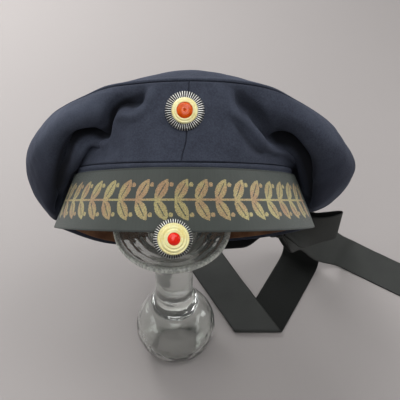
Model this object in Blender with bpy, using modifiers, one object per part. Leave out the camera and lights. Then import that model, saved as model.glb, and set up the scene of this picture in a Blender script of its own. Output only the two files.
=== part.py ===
"""A sailor's cap with a soft, wide crown, tipped back on an upturned stemmed glass.

Lengths in the tables are millimetres; MM turns them into metres as a mesh is made.
Two frames are used, each an empty that its pieces hang from:
  glass_axis  the upright axis of the glass, z = 0 on the table
  cap_frame   the head opening: x across, y towards the back of the cap, z up through the crown
Angles round the cap run from 0 at the front, through +90 at the wearer's left, to 180 at the back.
"""

import math

import bpy
import numpy as np

MM = 0.001
GAP = 0.3                       # clear space between touching pieces

# --- where things stand -----------------------------------------------------------------------
GLASS_AXIS_AT = (-70.3, -17.2, 0.0)
CAP_AT = (10.0, -17.0, 170.0)   # centre of the head opening, from the glass axis
CAP_TILT = 46.4                 # degrees that the cap leans back

# --- cloth, leather and ribbon ----------------------------------------------------------------
CLOTH = 2.0
LEATHER = 1.0
RIBBON = 1.0
RIBBON_WIDTH = 37.0

# --- head band: an oval ring, round below and longer than wide above --------------------------
BAND_HEIGHT = 42.0
BAND_HALF_WIDTH = (91.0, 75.0)  # below, above
BAND_HALF_LENGTH = (91.0, 102.0)
BAND_SHIFT_BACK = 7.0           # how far the upper oval lies behind the lower one
BAND_BACK_DROOP = 15.5
DROOP_SHARPNESS = 1.3
SWEATBAND_SPAN = (2.0, 36.0)
RIBBON_SPAN = (0.4, 37.4)
RING_GAP = 0.5                  # between the rings, measured across; less on the slant
RING_STEPS = 52

# --- crown ------------------------------------------------------------------------------------
CROWN_CENTRE = (4.4, 10.0)      # across, back
CROWN_STEPS = 64
SEAM_GAP = 0.9                  # between the two halves of the side
SIDE_ROWS = 11
TOP_RINGS = 6
TOP_CENTRE_HEIGHT = 63.8

# Each row is one section of the crown's side: distance from the crown's centre (r) and height (n)
# of the crease over the band, the lowest part of the overhang, the widest part and the top seam.
SIDE_SECTIONS = (
    # angle, crease r, n,  lowest r, n,   widest r, n,    seam r, n
    (-180, 103.0, 28.0, 113.0, 10.0, 123.0, 10.0, 116.0, 24.0),
    (-150, 101.0, 31.5, 111.0, 10.0, 123.0, 14.0, 114.0, 30.0),
    (-120, 95.0, 39.0, 105.0, 9.0, 121.0, 26.0, 111.0, 49.0),
    (-90, 84.5, 44.5, 98.0, 7.0, 119.8, 42.0, 107.0, 68.0),
    (-72, 84.6, 45.0, 99.5, 17.0, 118.0, 47.0, 104.0, 76.0),
    (-57, 85.5, 51.0, 96.0, 42.0, 113.0, 60.0, 101.0, 81.5),
    (-44, 88.5, 57.0, 91.5, 64.0, 106.5, 73.0, 99.5, 86.0),
    (-32, 94.0, 57.0, 93.5, 68.0, 99.0, 79.0, 99.5, 89.5),
    (-18, 100.5, 55.0, 100.3, 67.0, 100.5, 79.0, 100.5, 91.0),
    (0, 104.7, 55.0, 104.5, 67.0, 104.0, 80.0, 103.0, 91.5),
    (18, 100.5, 55.0, 100.3, 67.0, 100.5, 79.0, 100.5, 91.0),
    (32, 93.5, 57.0, 94.0, 68.0, 99.0, 79.0, 99.5, 88.5),
    (44, 86.5, 57.0, 92.0, 62.0, 106.5, 70.0, 99.5, 83.0),
    (57, 81.5, 51.0, 91.0, 45.0, 113.0, 57.0, 101.0, 77.0),
    (72, 78.0, 46.0, 88.5, 21.0, 118.0, 46.0, 104.0, 71.0),
    (90, 76.0, 44.5, 87.5, 13.5, 119.8, 42.0, 107.0, 65.0),
    (120, 88.0, 39.0, 100.0, 12.0, 121.0, 28.0, 111.0, 48.0),
    (150, 99.0, 31.5, 110.0, 11.0, 123.0, 15.0, 114.0, 30.0),
)
# Height of the crown's top along rays from its centre, at fractions of the way to the seam.
TOP_FRACTIONS = (0.37, 0.65, 0.85)
TOP_SECTIONS = (
    # angle, height at 0.37, 0.65, 0.85
    (-180, 33.0, 33.8, 34.0),
    (-150, 36.8, 38.5, 38.0),
    (-120, 50.7, 51.0, 51.5),
    (-90, 63.8, 66.0, 70.0),
    (-60, 77.0, 82.5, 83.0),
    (-30, 86.5, 95.5, 94.0),
    (0, 90.0, 102.0, 99.5),
    (30, 86.5, 95.5, 93.0),
    (60, 77.0, 80.5, 79.0),
    (90, 63.8, 64.5, 67.5),
    (120, 50.7, 50.5, 51.0),
    (150, 38.3, 39.0, 38.0),
)

# --- cockades: a ribbed metal ring, a pale dome and a red boss ---------------------------------
RIBS = 40
RIB_DEPTH = 0.35
COCKADES = (
    # name, x, n, ring r, dome r, boss r, dome height, yaw to the right (degrees)
    ("cockade_upper", 1.8, 73.3, 12.4, 8.0, 5.2, 2.6, 0.0),
    ("cockade_lower", -5.4, -4.1, 12.2, 9.8, 4.2, 3.4, 10.0),
)
RING_PLATE = 1.2                # thickness of a cockade's ring

# --- glass: an upturned stemmed glass, its foot on top and its bowl's rim on the table ---------
GLASS_STEPS = 30
GLASS_PROFILE = (
    # radius, height: from the middle of the top plate out, down and back up inside the bowl
    (0.0, 147.4), (19.0, 147.4), (20.4, 148.6), (31.0, 149.4), (32.6, 151.0), (38.0, 151.8),
    (42.4, 153.9), (44.0, 153.5), (44.6, 151.9), (44.0, 149.6), (40.6, 147.6), (30.0, 144.4),
    (20.0, 141.0), (16.4, 136.5), (15.6, 125.0), (15.2, 100.0), (15.0, 74.0), (17.2, 65.0),
    (22.0, 56.5), (27.6, 47.5), (32.2, 38.0), (34.2, 28.0), (33.4, 18.0), (29.4, 8.5),
    (23.8, 2.4), (18.6, 0.0), (16.0, 0.0), (21.4, 4.0), (26.8, 10.0), (30.8, 18.8), (31.6, 28.0),
    (29.8, 37.0), (25.4, 45.5), (19.8, 53.0), (16.2, 55.0), (13.6, 53.4), (12.0, 50.6), (6.4, 48.6),
    (0.0, 48.0),
)

# --- bow and tails, from the glass axis ---------------------------------------------------------
KNOT_ANGLE = 130.0
KNOT_HEIGHT = 10.0              # of its middle, over the band's lower edge
KNOT_SIZE = (13.0, 9.0, 25.0)
PINCH = 0.5                     # width of the ribbon where the knot grips it, of its full width
PINCH_LENGTH = 26.0
TABLE_CLEARANCE = 0.05          # under a tail that lies on the table
LOOP_STEPS = 12
LEFT_LOOP_ANGLES = (137.0, 194.0)
LEFT_LOOP_OFFSETS = (3.6, 7.2)  # of its two layers from the band's cloth
LEFT_LOOP_DROP = 8.0            # how far its lower edge hangs below the band
LOOP_OPENING = 5.0

# Ribbons pass through rows of: x, y, z of the middle; direction across, turned from +x and
# raised from level (degrees).
RIGHT_LOOP = (
    (88.4, 24.6, 127.0, 90.0, 43.6),
    (98.0, 24.6, 121.0, 92.0, 62.0),
    (110.0, 27.0, 117.6, 93.0, 90.0),
    (122.0, 29.0, 118.5, 93.0, 98.0),
    (134.0, 31.0, 119.5, 93.0, 98.0),
)
RIGHT_TAIL = (
    (88.4, 29.4, 120.2, 90.0, 43.6),
    (98.2, 38.2, 103.7, 84.0, 50.0),
    (110.0, 54.5, 87.0, 75.0, 54.0),
    (126.0, 72.5, 56.0, 67.0, 38.0),
    (147.0, 90.5, 19.5, 58.0, 8.0),
    (164.0, 97.5, 3.2, 57.0, 1.0),
    (182.3, 87.4, 0.6, 56.3, 0.0),
    (200.0, 75.6, 0.6, 56.3, 0.0),
    (218.0, 63.6, 0.6, 56.3, 0.0),
    (236.0, 51.6, 0.6, 56.3, 0.0),
)
RIGHT_TAIL_ROWS = 28
LEFT_TAIL = (
    (84.4, 32.9, 117.0, 90.0, 43.6),
    (88.4, 40.4, 100.5, 112.0, 32.0),
    (92.6, 56.0, 78.0, 130.0, 16.0),
    (103.0, 74.5, 50.0, 147.0, 4.0),
    (115.0, 88.5, 26.0, 151.7, 0.0),
    (118.0, 91.0, 12.0, 151.7, 0.0),
    (117.0, 89.0, 3.2, 151.7, 0.0),
    (113.5, 82.5, 0.7, 151.7, 0.0),
    (106.0, 68.4, 0.6, 151.7, 0.0),
    (94.9, 47.6, 0.6, 151.7, 0.0),
    (85.5, 30.0, 0.6, 151.7, 0.0),
    (79.8, 19.4, 0.6, 151.7, 0.0),
    (66.5, -5.2, 0.6, 151.7, 0.0),
    (2.1, -124.9, 0.6, 151.7, 0.0),
)
LEFT_TAIL_ROWS = 48
LEFT_TAIL_LENGTH = 359.2
FOLD_AT = 226.4                 # along the left tail
FOLD_LINE_Y = 9.0
FOLD_RADIUS = 1.6
FOLD_SLANT = 0.5386             # of the fold line across the ribbon
FOLD_REACH = 40.0               # how far from the fold its cross lines slant
END_SINKS = ((0.0, 38.0, 1.9), (40.0, 22.0, 1.3))   # of the end on top: from, over, by how much


def curve_through(knots, values, at, period=None):
    """Smooth curve through rows of values: cubic between knots, with the slope at each knot
    taken from its two neighbours. With a period the rows go round and meet."""
    knots = np.asarray(knots, float)
    values = np.asarray(values, float)
    if period:
        knots = np.concatenate(([knots[-1] - period], knots, [knots[0] + period, knots[1] + period]))
        values = np.concatenate((values[-1:], values, values[:2]))
        at = (np.asarray(at, float) - knots[1]) % period + knots[1]
    at = np.asarray(at, float)
    slopes = np.gradient(values, knots, axis=0)
    cell = np.clip(np.searchsorted(knots, at, side="right") - 1, 0, len(knots) - 2)
    span = (knots[cell + 1] - knots[cell])[:, None]
    t = (at - knots[cell])[:, None] / span
    return ((1 + 2 * t) * (1 - t) ** 2 * values[cell] + t * (1 - t) ** 2 * span * slopes[cell]
            + t * t * (3 - 2 * t) * values[cell + 1] - t * t * (1 - t) * span * slopes[cell + 1])


def chord_knots(points):
    """Running length along a line of points."""
    steps = np.linalg.norm(np.diff(points, axis=0), axis=1)
    return np.concatenate(([0.0], np.cumsum(steps)))


def unit(vectors):
    return vectors / np.linalg.norm(vectors, axis=-1, keepdims=True)


# --- objects ------------------------------------------------------------------------------------

def clear_scene():
    for obj in list(bpy.data.objects):
        bpy.data.objects.remove(obj, do_unlink=True)


def make_collection(name):
    collection = bpy.data.collections.new(name)
    bpy.context.scene.collection.children.link(collection)
    return collection


def make_material(name, color, roughness, metallic=0.0, transmission=0.0):
    material = bpy.data.materials.new(name)
    material.use_nodes = True
    shader = material.node_tree.nodes["Principled BSDF"]
    shader.inputs["Base Color"].default_value = (*color, 1.0)
    shader.inputs["Roughness"].default_value = roughness
    shader.inputs["Metallic"].default_value = metallic
    shader.inputs["Transmission Weight"].default_value = transmission
    return material


def add_empty(name, collection, at, tilt=0.0, parent=None):
    empty = bpy.data.objects.new(name, None)
    empty.location = [c * MM for c in at]
    empty.rotation_euler = (math.radians(-tilt), 0.0, 0.0)
    empty.parent = parent
    collection.objects.link(empty)
    return empty


def add_mesh(name, points, faces, material, collection, parent):
    mesh = bpy.data.meshes.new(name)
    mesh.from_pydata((np.asarray(points).reshape(-1, 3) * MM).tolist(), [], faces)
    mesh.shade_smooth()
    mesh.set_sharp_from_angle(angle=math.radians(40))
    mesh.materials.append(material)
    obj = bpy.data.objects.new(name, mesh)
    obj.parent = parent
    collection.objects.link(obj)
    return obj


def grid_faces(rows, columns, round_rows=False, round_columns=False):
    """Quads between the points of a grid, joined up where it goes round."""
    faces = []
    for i in range(rows if round_rows else rows - 1):
        for j in range(columns if round_columns else columns - 1):
            i2 = (i + 1) % rows
            j2 = (j + 1) % columns
            faces.append((i * columns + j, i2 * columns + j, i2 * columns + j2, i * columns + j2))
    return faces


def thicken(obj, thickness):
    """Give an open sheet its wall, half to each side."""
    solidify = obj.modifiers.new("wall", "SOLIDIFY")
    solidify.thickness = thickness * MM
    solidify.offset = 0.0
    return obj


def add_sheet(name, points, thickness, material, collection, parent, round_rows=False):
    rows, columns = points.shape[:2]
    obj = add_mesh(name, points, grid_faces(rows, columns, round_rows), material, collection, parent)
    return thicken(obj, thickness)


def add_turned(name, profile, steps, material, collection, parent):
    """Turn a profile of (radius, height) round the upright axis."""
    points = [(r, 0.0, z) for r, z in profile]
    mesh = bpy.data.meshes.new(name)
    mesh.from_pydata((np.array(points) * MM).tolist(), [(i, i + 1) for i in range(len(points) - 1)], [])
    mesh.materials.append(material)
    obj = bpy.data.objects.new(name, mesh)
    obj.parent = parent
    collection.objects.link(obj)
    screw = obj.modifiers.new("turn", "SCREW")
    screw.steps = steps
    screw.render_steps = steps
    screw.use_merge_vertices = True
    screw.merge_threshold = 0.00001
    screw.use_smooth_shade = True
    return obj


# --- head band ------------------------------------------------------------------------------------

def band_droop(angle):
    """How far the band hangs at an angle: nothing to the sides, most at the back."""
    behind = np.clip(-np.cos(angle), 0.0, 1.0)
    return BAND_BACK_DROOP * behind ** DROOP_SHARPNESS


def band_point(angle, height, outward=0.0):
    """Point of the band's middle surface at a height over its lower edge, moved outward."""
    share = height / BAND_HEIGHT
    half_width = BAND_HALF_WIDTH[0] + share * (BAND_HALF_WIDTH[1] - BAND_HALF_WIDTH[0]) + outward
    half_length = BAND_HALF_LENGTH[0] + share * (BAND_HALF_LENGTH[1] - BAND_HALF_LENGTH[0]) + outward
    x = half_width * np.sin(angle)
    y = share * BAND_SHIFT_BACK - half_length * np.cos(angle)
    return np.stack([x, y, height - band_droop(angle) + 0.0 * x], axis=-1)


def add_band_ring(name, span, outward, thickness, material, collection, parent):
    angle = np.radians(np.arange(RING_STEPS) * 360.0 / RING_STEPS)
    rows = [band_point(angle, np.full(RING_STEPS, height), outward) for height in span]
    points = np.stack(rows, axis=1)
    return add_sheet(name, points, thickness, material, collection, parent, round_rows=True)


# --- crown ------------------------------------------------------------------------------------------

def ray_point(angle, radius, height):
    """Point at a distance from the crown's centre, in the direction of an angle."""
    x = CROWN_CENTRE[0] + radius * np.sin(angle)
    y = CROWN_CENTRE[1] - radius * np.cos(angle)
    return np.stack([x, y, height + 0.0 * x], axis=-1)


def side_controls(degrees):
    """The five points that each section of the crown's side passes through."""
    table = np.array(SIDE_SECTIONS, float)
    row = curve_through(table[:, 0], table[:, 1:], degrees, period=360.0)
    angle = np.radians(degrees)
    controls = [ray_point(angle, row[:, i], row[:, i + 1]) for i in (0, 2, 4, 6)]
    start = band_point(angle, np.full(len(angle), BAND_HEIGHT))
    lean = unit(controls[0] - start)
    outwards = np.linalg.norm(lean[:, :2], axis=1)
    start[:, 2] += GAP + 0.1 + (CLOTH / 2 + 0.5) * outwards
    return np.stack([start, *controls], axis=1)


def crown_side(degrees, rows):
    """Grid over the crown's side: one smooth section for each angle, from the band to the seam."""
    sections = []
    for controls in side_controls(degrees):
        knots = chord_knots(controls)
        sections.append(curve_through(knots, controls, np.linspace(0.0, knots[-1], rows)))
    return np.array(sections)


def crown_top(degrees, rings):
    """Grid over the crown's top, from the seam in to its centre: height read along each ray."""
    table = np.array(TOP_SECTIONS, float)
    heights = curve_through(table[:, 0], table[:, 1:], degrees, period=360.0)
    side = crown_side(degrees, SIDE_ROWS)
    seam = side[:, -1]
    climb = unit(side[:, -1] - side[:, -2])
    inward = unit(ray_point(np.radians(degrees), 0.85 * 104.0, heights[:, 2]) - seam)
    turn = np.linalg.norm(np.cross(climb, inward), axis=1, keepdims=True)
    edge = seam + climb * (GAP + 0.3 + 1.6 * CLOTH / 2 * turn)
    centre = np.array([*CROWN_CENTRE, TOP_CENTRE_HEIGHT])
    rays = []
    for i in range(len(degrees)):
        fractions = (0.0, *TOP_FRACTIONS, 1.0)
        levels = np.array([TOP_CENTRE_HEIGHT, *heights[i], edge[i, 2]])[:, None]
        share = np.linspace(1.0, 0.0, rings, endpoint=False)
        level = curve_through(fractions, levels, share)[:, 0]
        ray = centre + (edge[i] - centre) * share[:, None]
        ray[:, 2] = level
        rays.append(ray)
    return np.array(rays)


def add_crown_side(name, start, end, material, collection, parent):
    count = CROWN_STEPS // 2
    half_gap = math.degrees(SEAM_GAP / 2 / SIDE_SECTIONS[9][1])
    degrees = np.linspace(start + half_gap, end - half_gap, count + 1)
    return add_sheet(name, crown_side(degrees, SIDE_ROWS), CLOTH, material, collection, parent)


def add_crown_top(material, collection, parent):
    degrees = np.arange(CROWN_STEPS) * 360.0 / CROWN_STEPS - 180.0
    rings = crown_top(degrees, TOP_RINGS)
    count, columns = rings.shape[:2]
    points = np.concatenate((rings.reshape(-1, 3), [[*CROWN_CENTRE, TOP_CENTRE_HEIGHT]]))
    faces = grid_faces(count, columns, round_rows=True)
    for i in range(count):
        faces.append((i * columns + columns - 1, (i + 1) % count * columns + columns - 1, count * columns))
    obj = add_mesh("crown_top", points, faces, material, collection, parent)
    return thicken(obj, CLOTH)


# --- cockades ---------------------------------------------------------------------------------------

def front_of_cap(x, height):
    """Outer face of the cap in front, at a place across and a height over the opening."""
    if height < BAND_HEIGHT:
        angle = np.array([math.asin(x / BAND_HALF_WIDTH[0])])
        outer = CLOTH / 2 + RING_GAP + RIBBON
        return band_point(angle, np.array([max(height, 0.0)]), outer)[0, 1]
    degrees = math.degrees(math.asin((x - CROWN_CENTRE[0]) / SIDE_SECTIONS[9][1]))
    section = crown_side(np.array([degrees]), 60)[0]
    return section[np.argmin(abs(section[:, 2] - height)), 1] - CLOTH / 2


def seat_depth(x, height, radius, yaw):
    """Where a ring turned by a yaw stands, a gap in front of the cap's face."""
    depths = []
    for turn in np.radians(np.arange(0.0, 360.0, 30.0)):
        across, up = radius * math.cos(turn), radius * math.sin(turn)
        depths.append(front_of_cap(x + across * math.cos(yaw), height + up) - across * math.sin(yaw))
    return min(depths) - GAP


def add_ribbed_ring(name, outer, inner, material, collection, parent):
    """Flat ring whose face falls to its rim in ribs; the ribs stand out of the rim as teeth."""
    count = 2 * RIBS
    angle = np.arange(count) * 2 * math.pi / count
    tooth = np.where(np.arange(count) % 2 == 0, 0.0, RIB_DEPTH)
    rings = ((inner, 0.0, 0.0), (outer, 1.0, 0.0), (outer, 1.0, 0.7), (inner, 0.0, RING_PLATE + 0.6))
    columns = []
    for radius, toothed, level in rings:
        reach = radius - toothed * tooth
        fall = level - (RIB_DEPTH / 2 - tooth / 2 if level > 0.0 and toothed else 0.0)
        columns.append(np.stack([reach * np.cos(angle), reach * np.sin(angle), fall + 0.0 * angle], axis=1))
    points = np.stack(columns, axis=1)
    faces = grid_faces(count, len(rings), round_rows=True, round_columns=True)
    return add_mesh(name, points, faces, material, collection, parent)


def dome_profile(radius, base, height, steps=4):
    """Half outline of a dome on a short upright edge, from its top down and in to the axis."""
    edge = 0.4
    arc = [(radius * math.sin(math.pi / 2 * i / steps),
            base + edge + (height - edge) * math.cos(math.pi / 2 * i / steps)) for i in range(steps + 1)]
    return [*arc, (radius, base), (0.0, base)]


def cup_profile(radius, hole, base, height, steps=4):
    """Half outline of a dome with a round seat sunk in its middle."""
    arc = [(r, z) for r, z in dome_profile(radius, base, height, steps)[:-1] if r > hole]
    seat = base + 0.45 * height
    lip = base + 0.4 + (height - 0.4) * math.sqrt(1.0 - (hole / radius) ** 2)
    return [(0.0, seat), (hole, seat), (hole, lip), *arc, (0.0, base)]


def add_cockade(row, materials, collection, cap):
    name, x, height, ring_r, dome_r, boss_r, dome_height, yaw = row
    depth = seat_depth(x, height, ring_r, math.radians(yaw))
    seat = add_empty(name + "_seat", collection, (x, depth, height), parent=cap)
    seat.rotation_euler = (math.radians(90.0), 0.0, math.radians(yaw))
    hole = 2.0
    add_ribbed_ring(name + "_ring", ring_r, hole, materials["silver"], collection, seat)
    base = RING_PLATE + 0.6 + GAP
    add_turned(name + "_dome", cup_profile(dome_r, boss_r, base, dome_height), 24,
               materials["cream"], collection, seat)
    boss_base = base + 0.45 * dome_height + GAP
    add_turned(name + "_boss", dome_profile(boss_r - GAP, boss_base, 0.75 * dome_height), 16,
               materials["red"], collection, seat)


# --- bow ----------------------------------------------------------------------------------------------

def pinched(distance):
    """Width of a ribbon at a distance from the knot."""
    ease = np.clip(distance / PINCH_LENGTH, 0.0, 1.0)
    return RIBBON_WIDTH * (PINCH + (1.0 - PINCH) * ease * ease * (3 - 2 * ease))


def ribbon_rows(table, lengths):
    """Middle and direction across of a ribbon at lengths along the rows of its table."""
    table = np.array(table, float)
    row = curve_through(chord_knots(table[:, :3]), table, lengths)
    turn, rise = np.radians(row[:, 3]), np.radians(row[:, 4])
    across = np.stack([np.cos(turn) * np.cos(rise), np.sin(turn) * np.cos(rise), np.sin(rise)], axis=1)
    return row[:, :3], across


def add_loop(name, layers, across, material, collection, parent):
    """Ribbon that runs out along one path, turns and comes back along the other."""
    middle = np.concatenate((layers[0], layers[1][::-1]))
    across = np.concatenate((across, across[::-1]))
    along = chord_knots(layers[0])
    reach = np.concatenate((along, along[::-1]))
    half = (pinched(reach) / 2)[:, None] * unit(across)
    points = np.stack([middle - half, middle, middle + half], axis=1)
    return add_sheet(name, points, RIBBON, material, collection, parent)


def belly(steps):
    """Opening of a loop along its length, as a share: narrow at the knot, round at its end."""
    ease = np.linspace(0.0, 1.0, steps)
    return np.sqrt(np.clip(1.0 - (2.0 * ease - 1.0) ** 4, 0.12, 1.0))


def add_left_loop(material, collection, cap):
    """Loop that lies along the back of the band, its lower edge hanging below it."""
    angle = np.radians(np.linspace(*LEFT_LOOP_ANGLES, LOOP_STEPS))
    middle_height = np.full(LOOP_STEPS, RIBBON_WIDTH / 2 - LEFT_LOOP_DROP)
    near, far = LEFT_LOOP_OFFSETS
    layers = (band_point(angle, middle_height, near),
              band_point(angle, middle_height, near + (far - near) * belly(LOOP_STEPS)))
    across = band_point(angle, middle_height + 10.0) - band_point(angle, middle_height)
    add_loop("bow_loop_left", layers, across, material, collection, cap)


def add_right_loop(material, collection, parent):
    """Loop that stands out to the right of the knot."""
    length = chord_knots(np.array(RIGHT_LOOP)[:, :3])[-1]
    middle, across = ribbon_rows(RIGHT_LOOP, np.linspace(0.0, length, LOOP_STEPS))
    apart = np.cross(across, unit(np.gradient(middle, axis=0))) * belly(LOOP_STEPS)[:, None]
    layers = (middle - LOOP_OPENING / 2 * apart, middle + LOOP_OPENING / 2 * apart)
    add_loop("bow_loop_right", layers, across, material, collection, parent)


def add_knot(material, collection, cap):
    """Small rounded block that stands on the ribbon, turned to face outward."""
    angle = math.radians(KNOT_ANGLE)
    outward = CLOTH / 2 + RING_GAP + RIBBON + RING_GAP + KNOT_SIZE[1] / 2
    bpy.ops.mesh.primitive_cube_add(size=1.0)
    knot = bpy.context.object
    knot.name = "bow_knot"
    knot.data.name = "bow_knot"
    knot.data.transform([[KNOT_SIZE[0] * MM, 0, 0, 0], [0, KNOT_SIZE[1] * MM, 0, 0],
                         [0, 0, KNOT_SIZE[2] * MM, 0], [0, 0, 0, 1]])
    for owner in list(knot.users_collection):
        owner.objects.unlink(knot)
    collection.objects.link(knot)
    knot.location = band_point(np.array([angle]), np.array([KNOT_HEIGHT]), outward)[0] * MM
    knot.rotation_euler = (0.0, 0.0, angle - math.pi)
    knot.parent = cap
    knot.data.materials.append(material)
    bevel = knot.modifiers.new("rounding", "BEVEL")
    bevel.width = 3.0 * MM
    bevel.segments = 2


# --- tails ----------------------------------------------------------------------------------------------

def tail_points(table, length, rows, columns, slant=0.0, slant_at=0.0):
    """Grid over a tail. Near slant_at its cross lines are slanted, to lie along a fold there."""
    lengths = np.linspace(0.0, length, rows)[:, None]
    share = np.linspace(-0.5, 0.5, columns)[None, :]
    near = np.clip(1.6 - abs(lengths - slant_at) / FOLD_REACH, 0.0, 1.0)
    place = lengths + near * near * (3 - 2 * near) * slant * RIBBON_WIDTH * share
    middle, across = ribbon_rows(table, place.ravel())
    points = middle + (pinched(lengths) * share).reshape(-1, 1) * across
    points[:, 2] = np.maximum(points[:, 2], TABLE_CLEARANCE + RIBBON / 2)
    return points.reshape(rows, columns, 3)


def add_right_tail(material, collection, parent):
    length = chord_knots(np.array(RIGHT_TAIL)[:, :3])[-1]
    points = tail_points(RIGHT_TAIL, length, RIGHT_TAIL_ROWS, 3)
    return add_sheet("ribbon_tail_right", points, RIBBON, material, collection, parent)


def fold_over(points):
    """Turn what passes the fold line up round a half circle and back on top. From there the end
    sinks, and reaches the table where it leaves the ribbon under it."""
    x, y, z = points[..., 0], points[..., 1], points[..., 2]
    past = FOLD_LINE_Y - y
    turn = np.clip(past / FOLD_RADIUS, 0.0, math.pi)
    beyond = np.clip(past - math.pi * FOLD_RADIUS, 0.0, None)
    folded_y = FOLD_LINE_Y - FOLD_RADIUS * np.sin(turn) + beyond
    folded_z = z + FOLD_RADIUS * (1.0 - np.cos(turn))
    for start, over, depth in END_SINKS:
        share = np.clip((beyond - start) / over, 0.0, 1.0)
        folded_z = folded_z - depth * share * share * (3 - 2 * share)
    return np.stack([x, np.where(past > 0.0, folded_y, y), np.where(past > 0.0, folded_z, z)], axis=-1)


def add_left_tail(material, collection, parent):
    """Tail that falls to the table, runs along it and folds back on top of itself."""
    points = tail_points(LEFT_TAIL, LEFT_TAIL_LENGTH, LEFT_TAIL_ROWS, 3, FOLD_SLANT, FOLD_AT)
    return add_sheet("ribbon_tail_left", fold_over(points), RIBBON, material, collection, parent)


def main():
    clear_scene()
    collection = make_collection("sailor_cap")
    wool = make_material("navy_wool", (0.012, 0.014, 0.026), 0.95)
    silk = make_material("ribbed_silk", (0.045, 0.05, 0.045), 0.5)
    leather = make_material("brown_leather", (0.16, 0.07, 0.03), 0.6)
    glass = make_material("clear_glass", (0.95, 0.97, 0.96), 0.02, transmission=1.0)
    metal = {
        "silver": make_material("blackened_silver", (0.35, 0.34, 0.3), 0.35, metallic=1.0),
        "cream": make_material("cream_enamel", (0.85, 0.8, 0.45), 0.3),
        "red": make_material("red_enamel", (0.75, 0.05, 0.02), 0.25),
    }
    axis = add_empty("glass_axis", collection, GLASS_AXIS_AT)
    cap = add_empty("cap_frame", collection, CAP_AT, tilt=CAP_TILT, parent=axis)

    add_turned("glass_stand", GLASS_PROFILE, GLASS_STEPS, glass, collection, axis)
    add_band_ring("head_band", (0.0, BAND_HEIGHT), 0.0, CLOTH, wool, collection, cap)
    add_band_ring("sweatband", SWEATBAND_SPAN, -CLOTH / 2 - RING_GAP - LEATHER / 2, LEATHER, leather,
                  collection, cap)
    add_band_ring("cap_ribbon", RIBBON_SPAN, CLOTH / 2 + RING_GAP + RIBBON / 2, RIBBON, silk, collection, cap)
    add_crown_side("crown_side_right", 0.0, 180.0, wool, collection, cap)
    add_crown_side("crown_side_left", -180.0, 0.0, wool, collection, cap)
    add_crown_top(wool, collection, cap)
    for row in COCKADES:
        add_cockade(row, metal, collection, cap)
    add_left_loop(silk, collection, cap)
    add_right_loop(silk, collection, axis)
    add_knot(silk, collection, cap)
    add_right_tail(silk, collection, axis)
    add_left_tail(silk, collection, axis)


main()
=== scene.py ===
"""A sailor's cap with a soft, wide crown, tipped back on an upturned stemmed glass: its finished
surfaces, with the floor, lights and camera of the photograph.

Lengths are millimetres, and MM turns them into metres when a mesh is made; those of materials and
lights are metres. The cap's own frame: x across, y towards its back, z up through the crown, from
the centre of the head opening. Angles round the cap run from 0 at the front, through +90 on the
picture's right, to 180.
"""

import math

import bpy
import numpy as np
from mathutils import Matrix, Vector


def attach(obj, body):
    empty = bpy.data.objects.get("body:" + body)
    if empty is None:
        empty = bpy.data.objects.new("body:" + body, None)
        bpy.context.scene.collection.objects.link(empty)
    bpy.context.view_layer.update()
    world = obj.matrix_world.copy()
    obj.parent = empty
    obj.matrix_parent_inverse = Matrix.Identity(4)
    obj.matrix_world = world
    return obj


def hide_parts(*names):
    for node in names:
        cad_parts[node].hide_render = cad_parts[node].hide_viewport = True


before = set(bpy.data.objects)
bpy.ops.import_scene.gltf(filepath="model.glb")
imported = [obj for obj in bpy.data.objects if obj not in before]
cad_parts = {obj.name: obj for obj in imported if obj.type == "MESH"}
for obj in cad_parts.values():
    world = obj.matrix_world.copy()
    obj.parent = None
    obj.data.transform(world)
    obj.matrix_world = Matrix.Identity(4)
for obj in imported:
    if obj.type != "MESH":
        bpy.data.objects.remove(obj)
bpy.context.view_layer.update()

MM = 0.001
UV_MM = 100.0                               # mm of cloth to one unit of its UV

# --- where things stand ---
GLASS_AXIS_AT = np.array([-70.3, -17.2, 0.0])
CAP_AT = np.array([10.0, -17.0, 170.0])     # centre of the head opening, from the glass axis
CAP_TILT = math.radians(46.4)
CAMERA_AT = (21.0, -404.0, 602.0)           # from the glass axis
CAMERA_PITCH = 43.8                         # degrees up from straight down

# --- band, leather and ribbon ---
BAND_HEIGHT = 42.0
BAND_HALF_WIDTH = (91.0, 75.0)              # below, above
BAND_HALF_LENGTH = (91.0, 102.0)
BAND_SHIFT_BACK = 7.0
BAND_BACK_DROOP = 15.5
DROOP_SHARPNESS = 1.3
LEFT_SAG, LEFT_SAG_AT = 5.0, (-138.0, 27.0)  # depth; angle and half width in degrees
BAND_WALL, LEATHER_WALL, RIBBON_WALL = 2.0, 1.0, 0.9
RING_GAP = 0.5
SWEATBAND_SPAN = (2.0, 36.0)
RIBBON_SPAN = (0.4, 37.4)
RIBBON_FRONT = (-0.8, 1.9)                  # how its lower and upper edge are drawn in front
WELT, SEWN = (0.75, 40.5, 1.0), (-0.35, 38.9, 0.5)  # on the band: height, place up it, half width
RIBBON_WIDTH = 37.0

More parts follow.
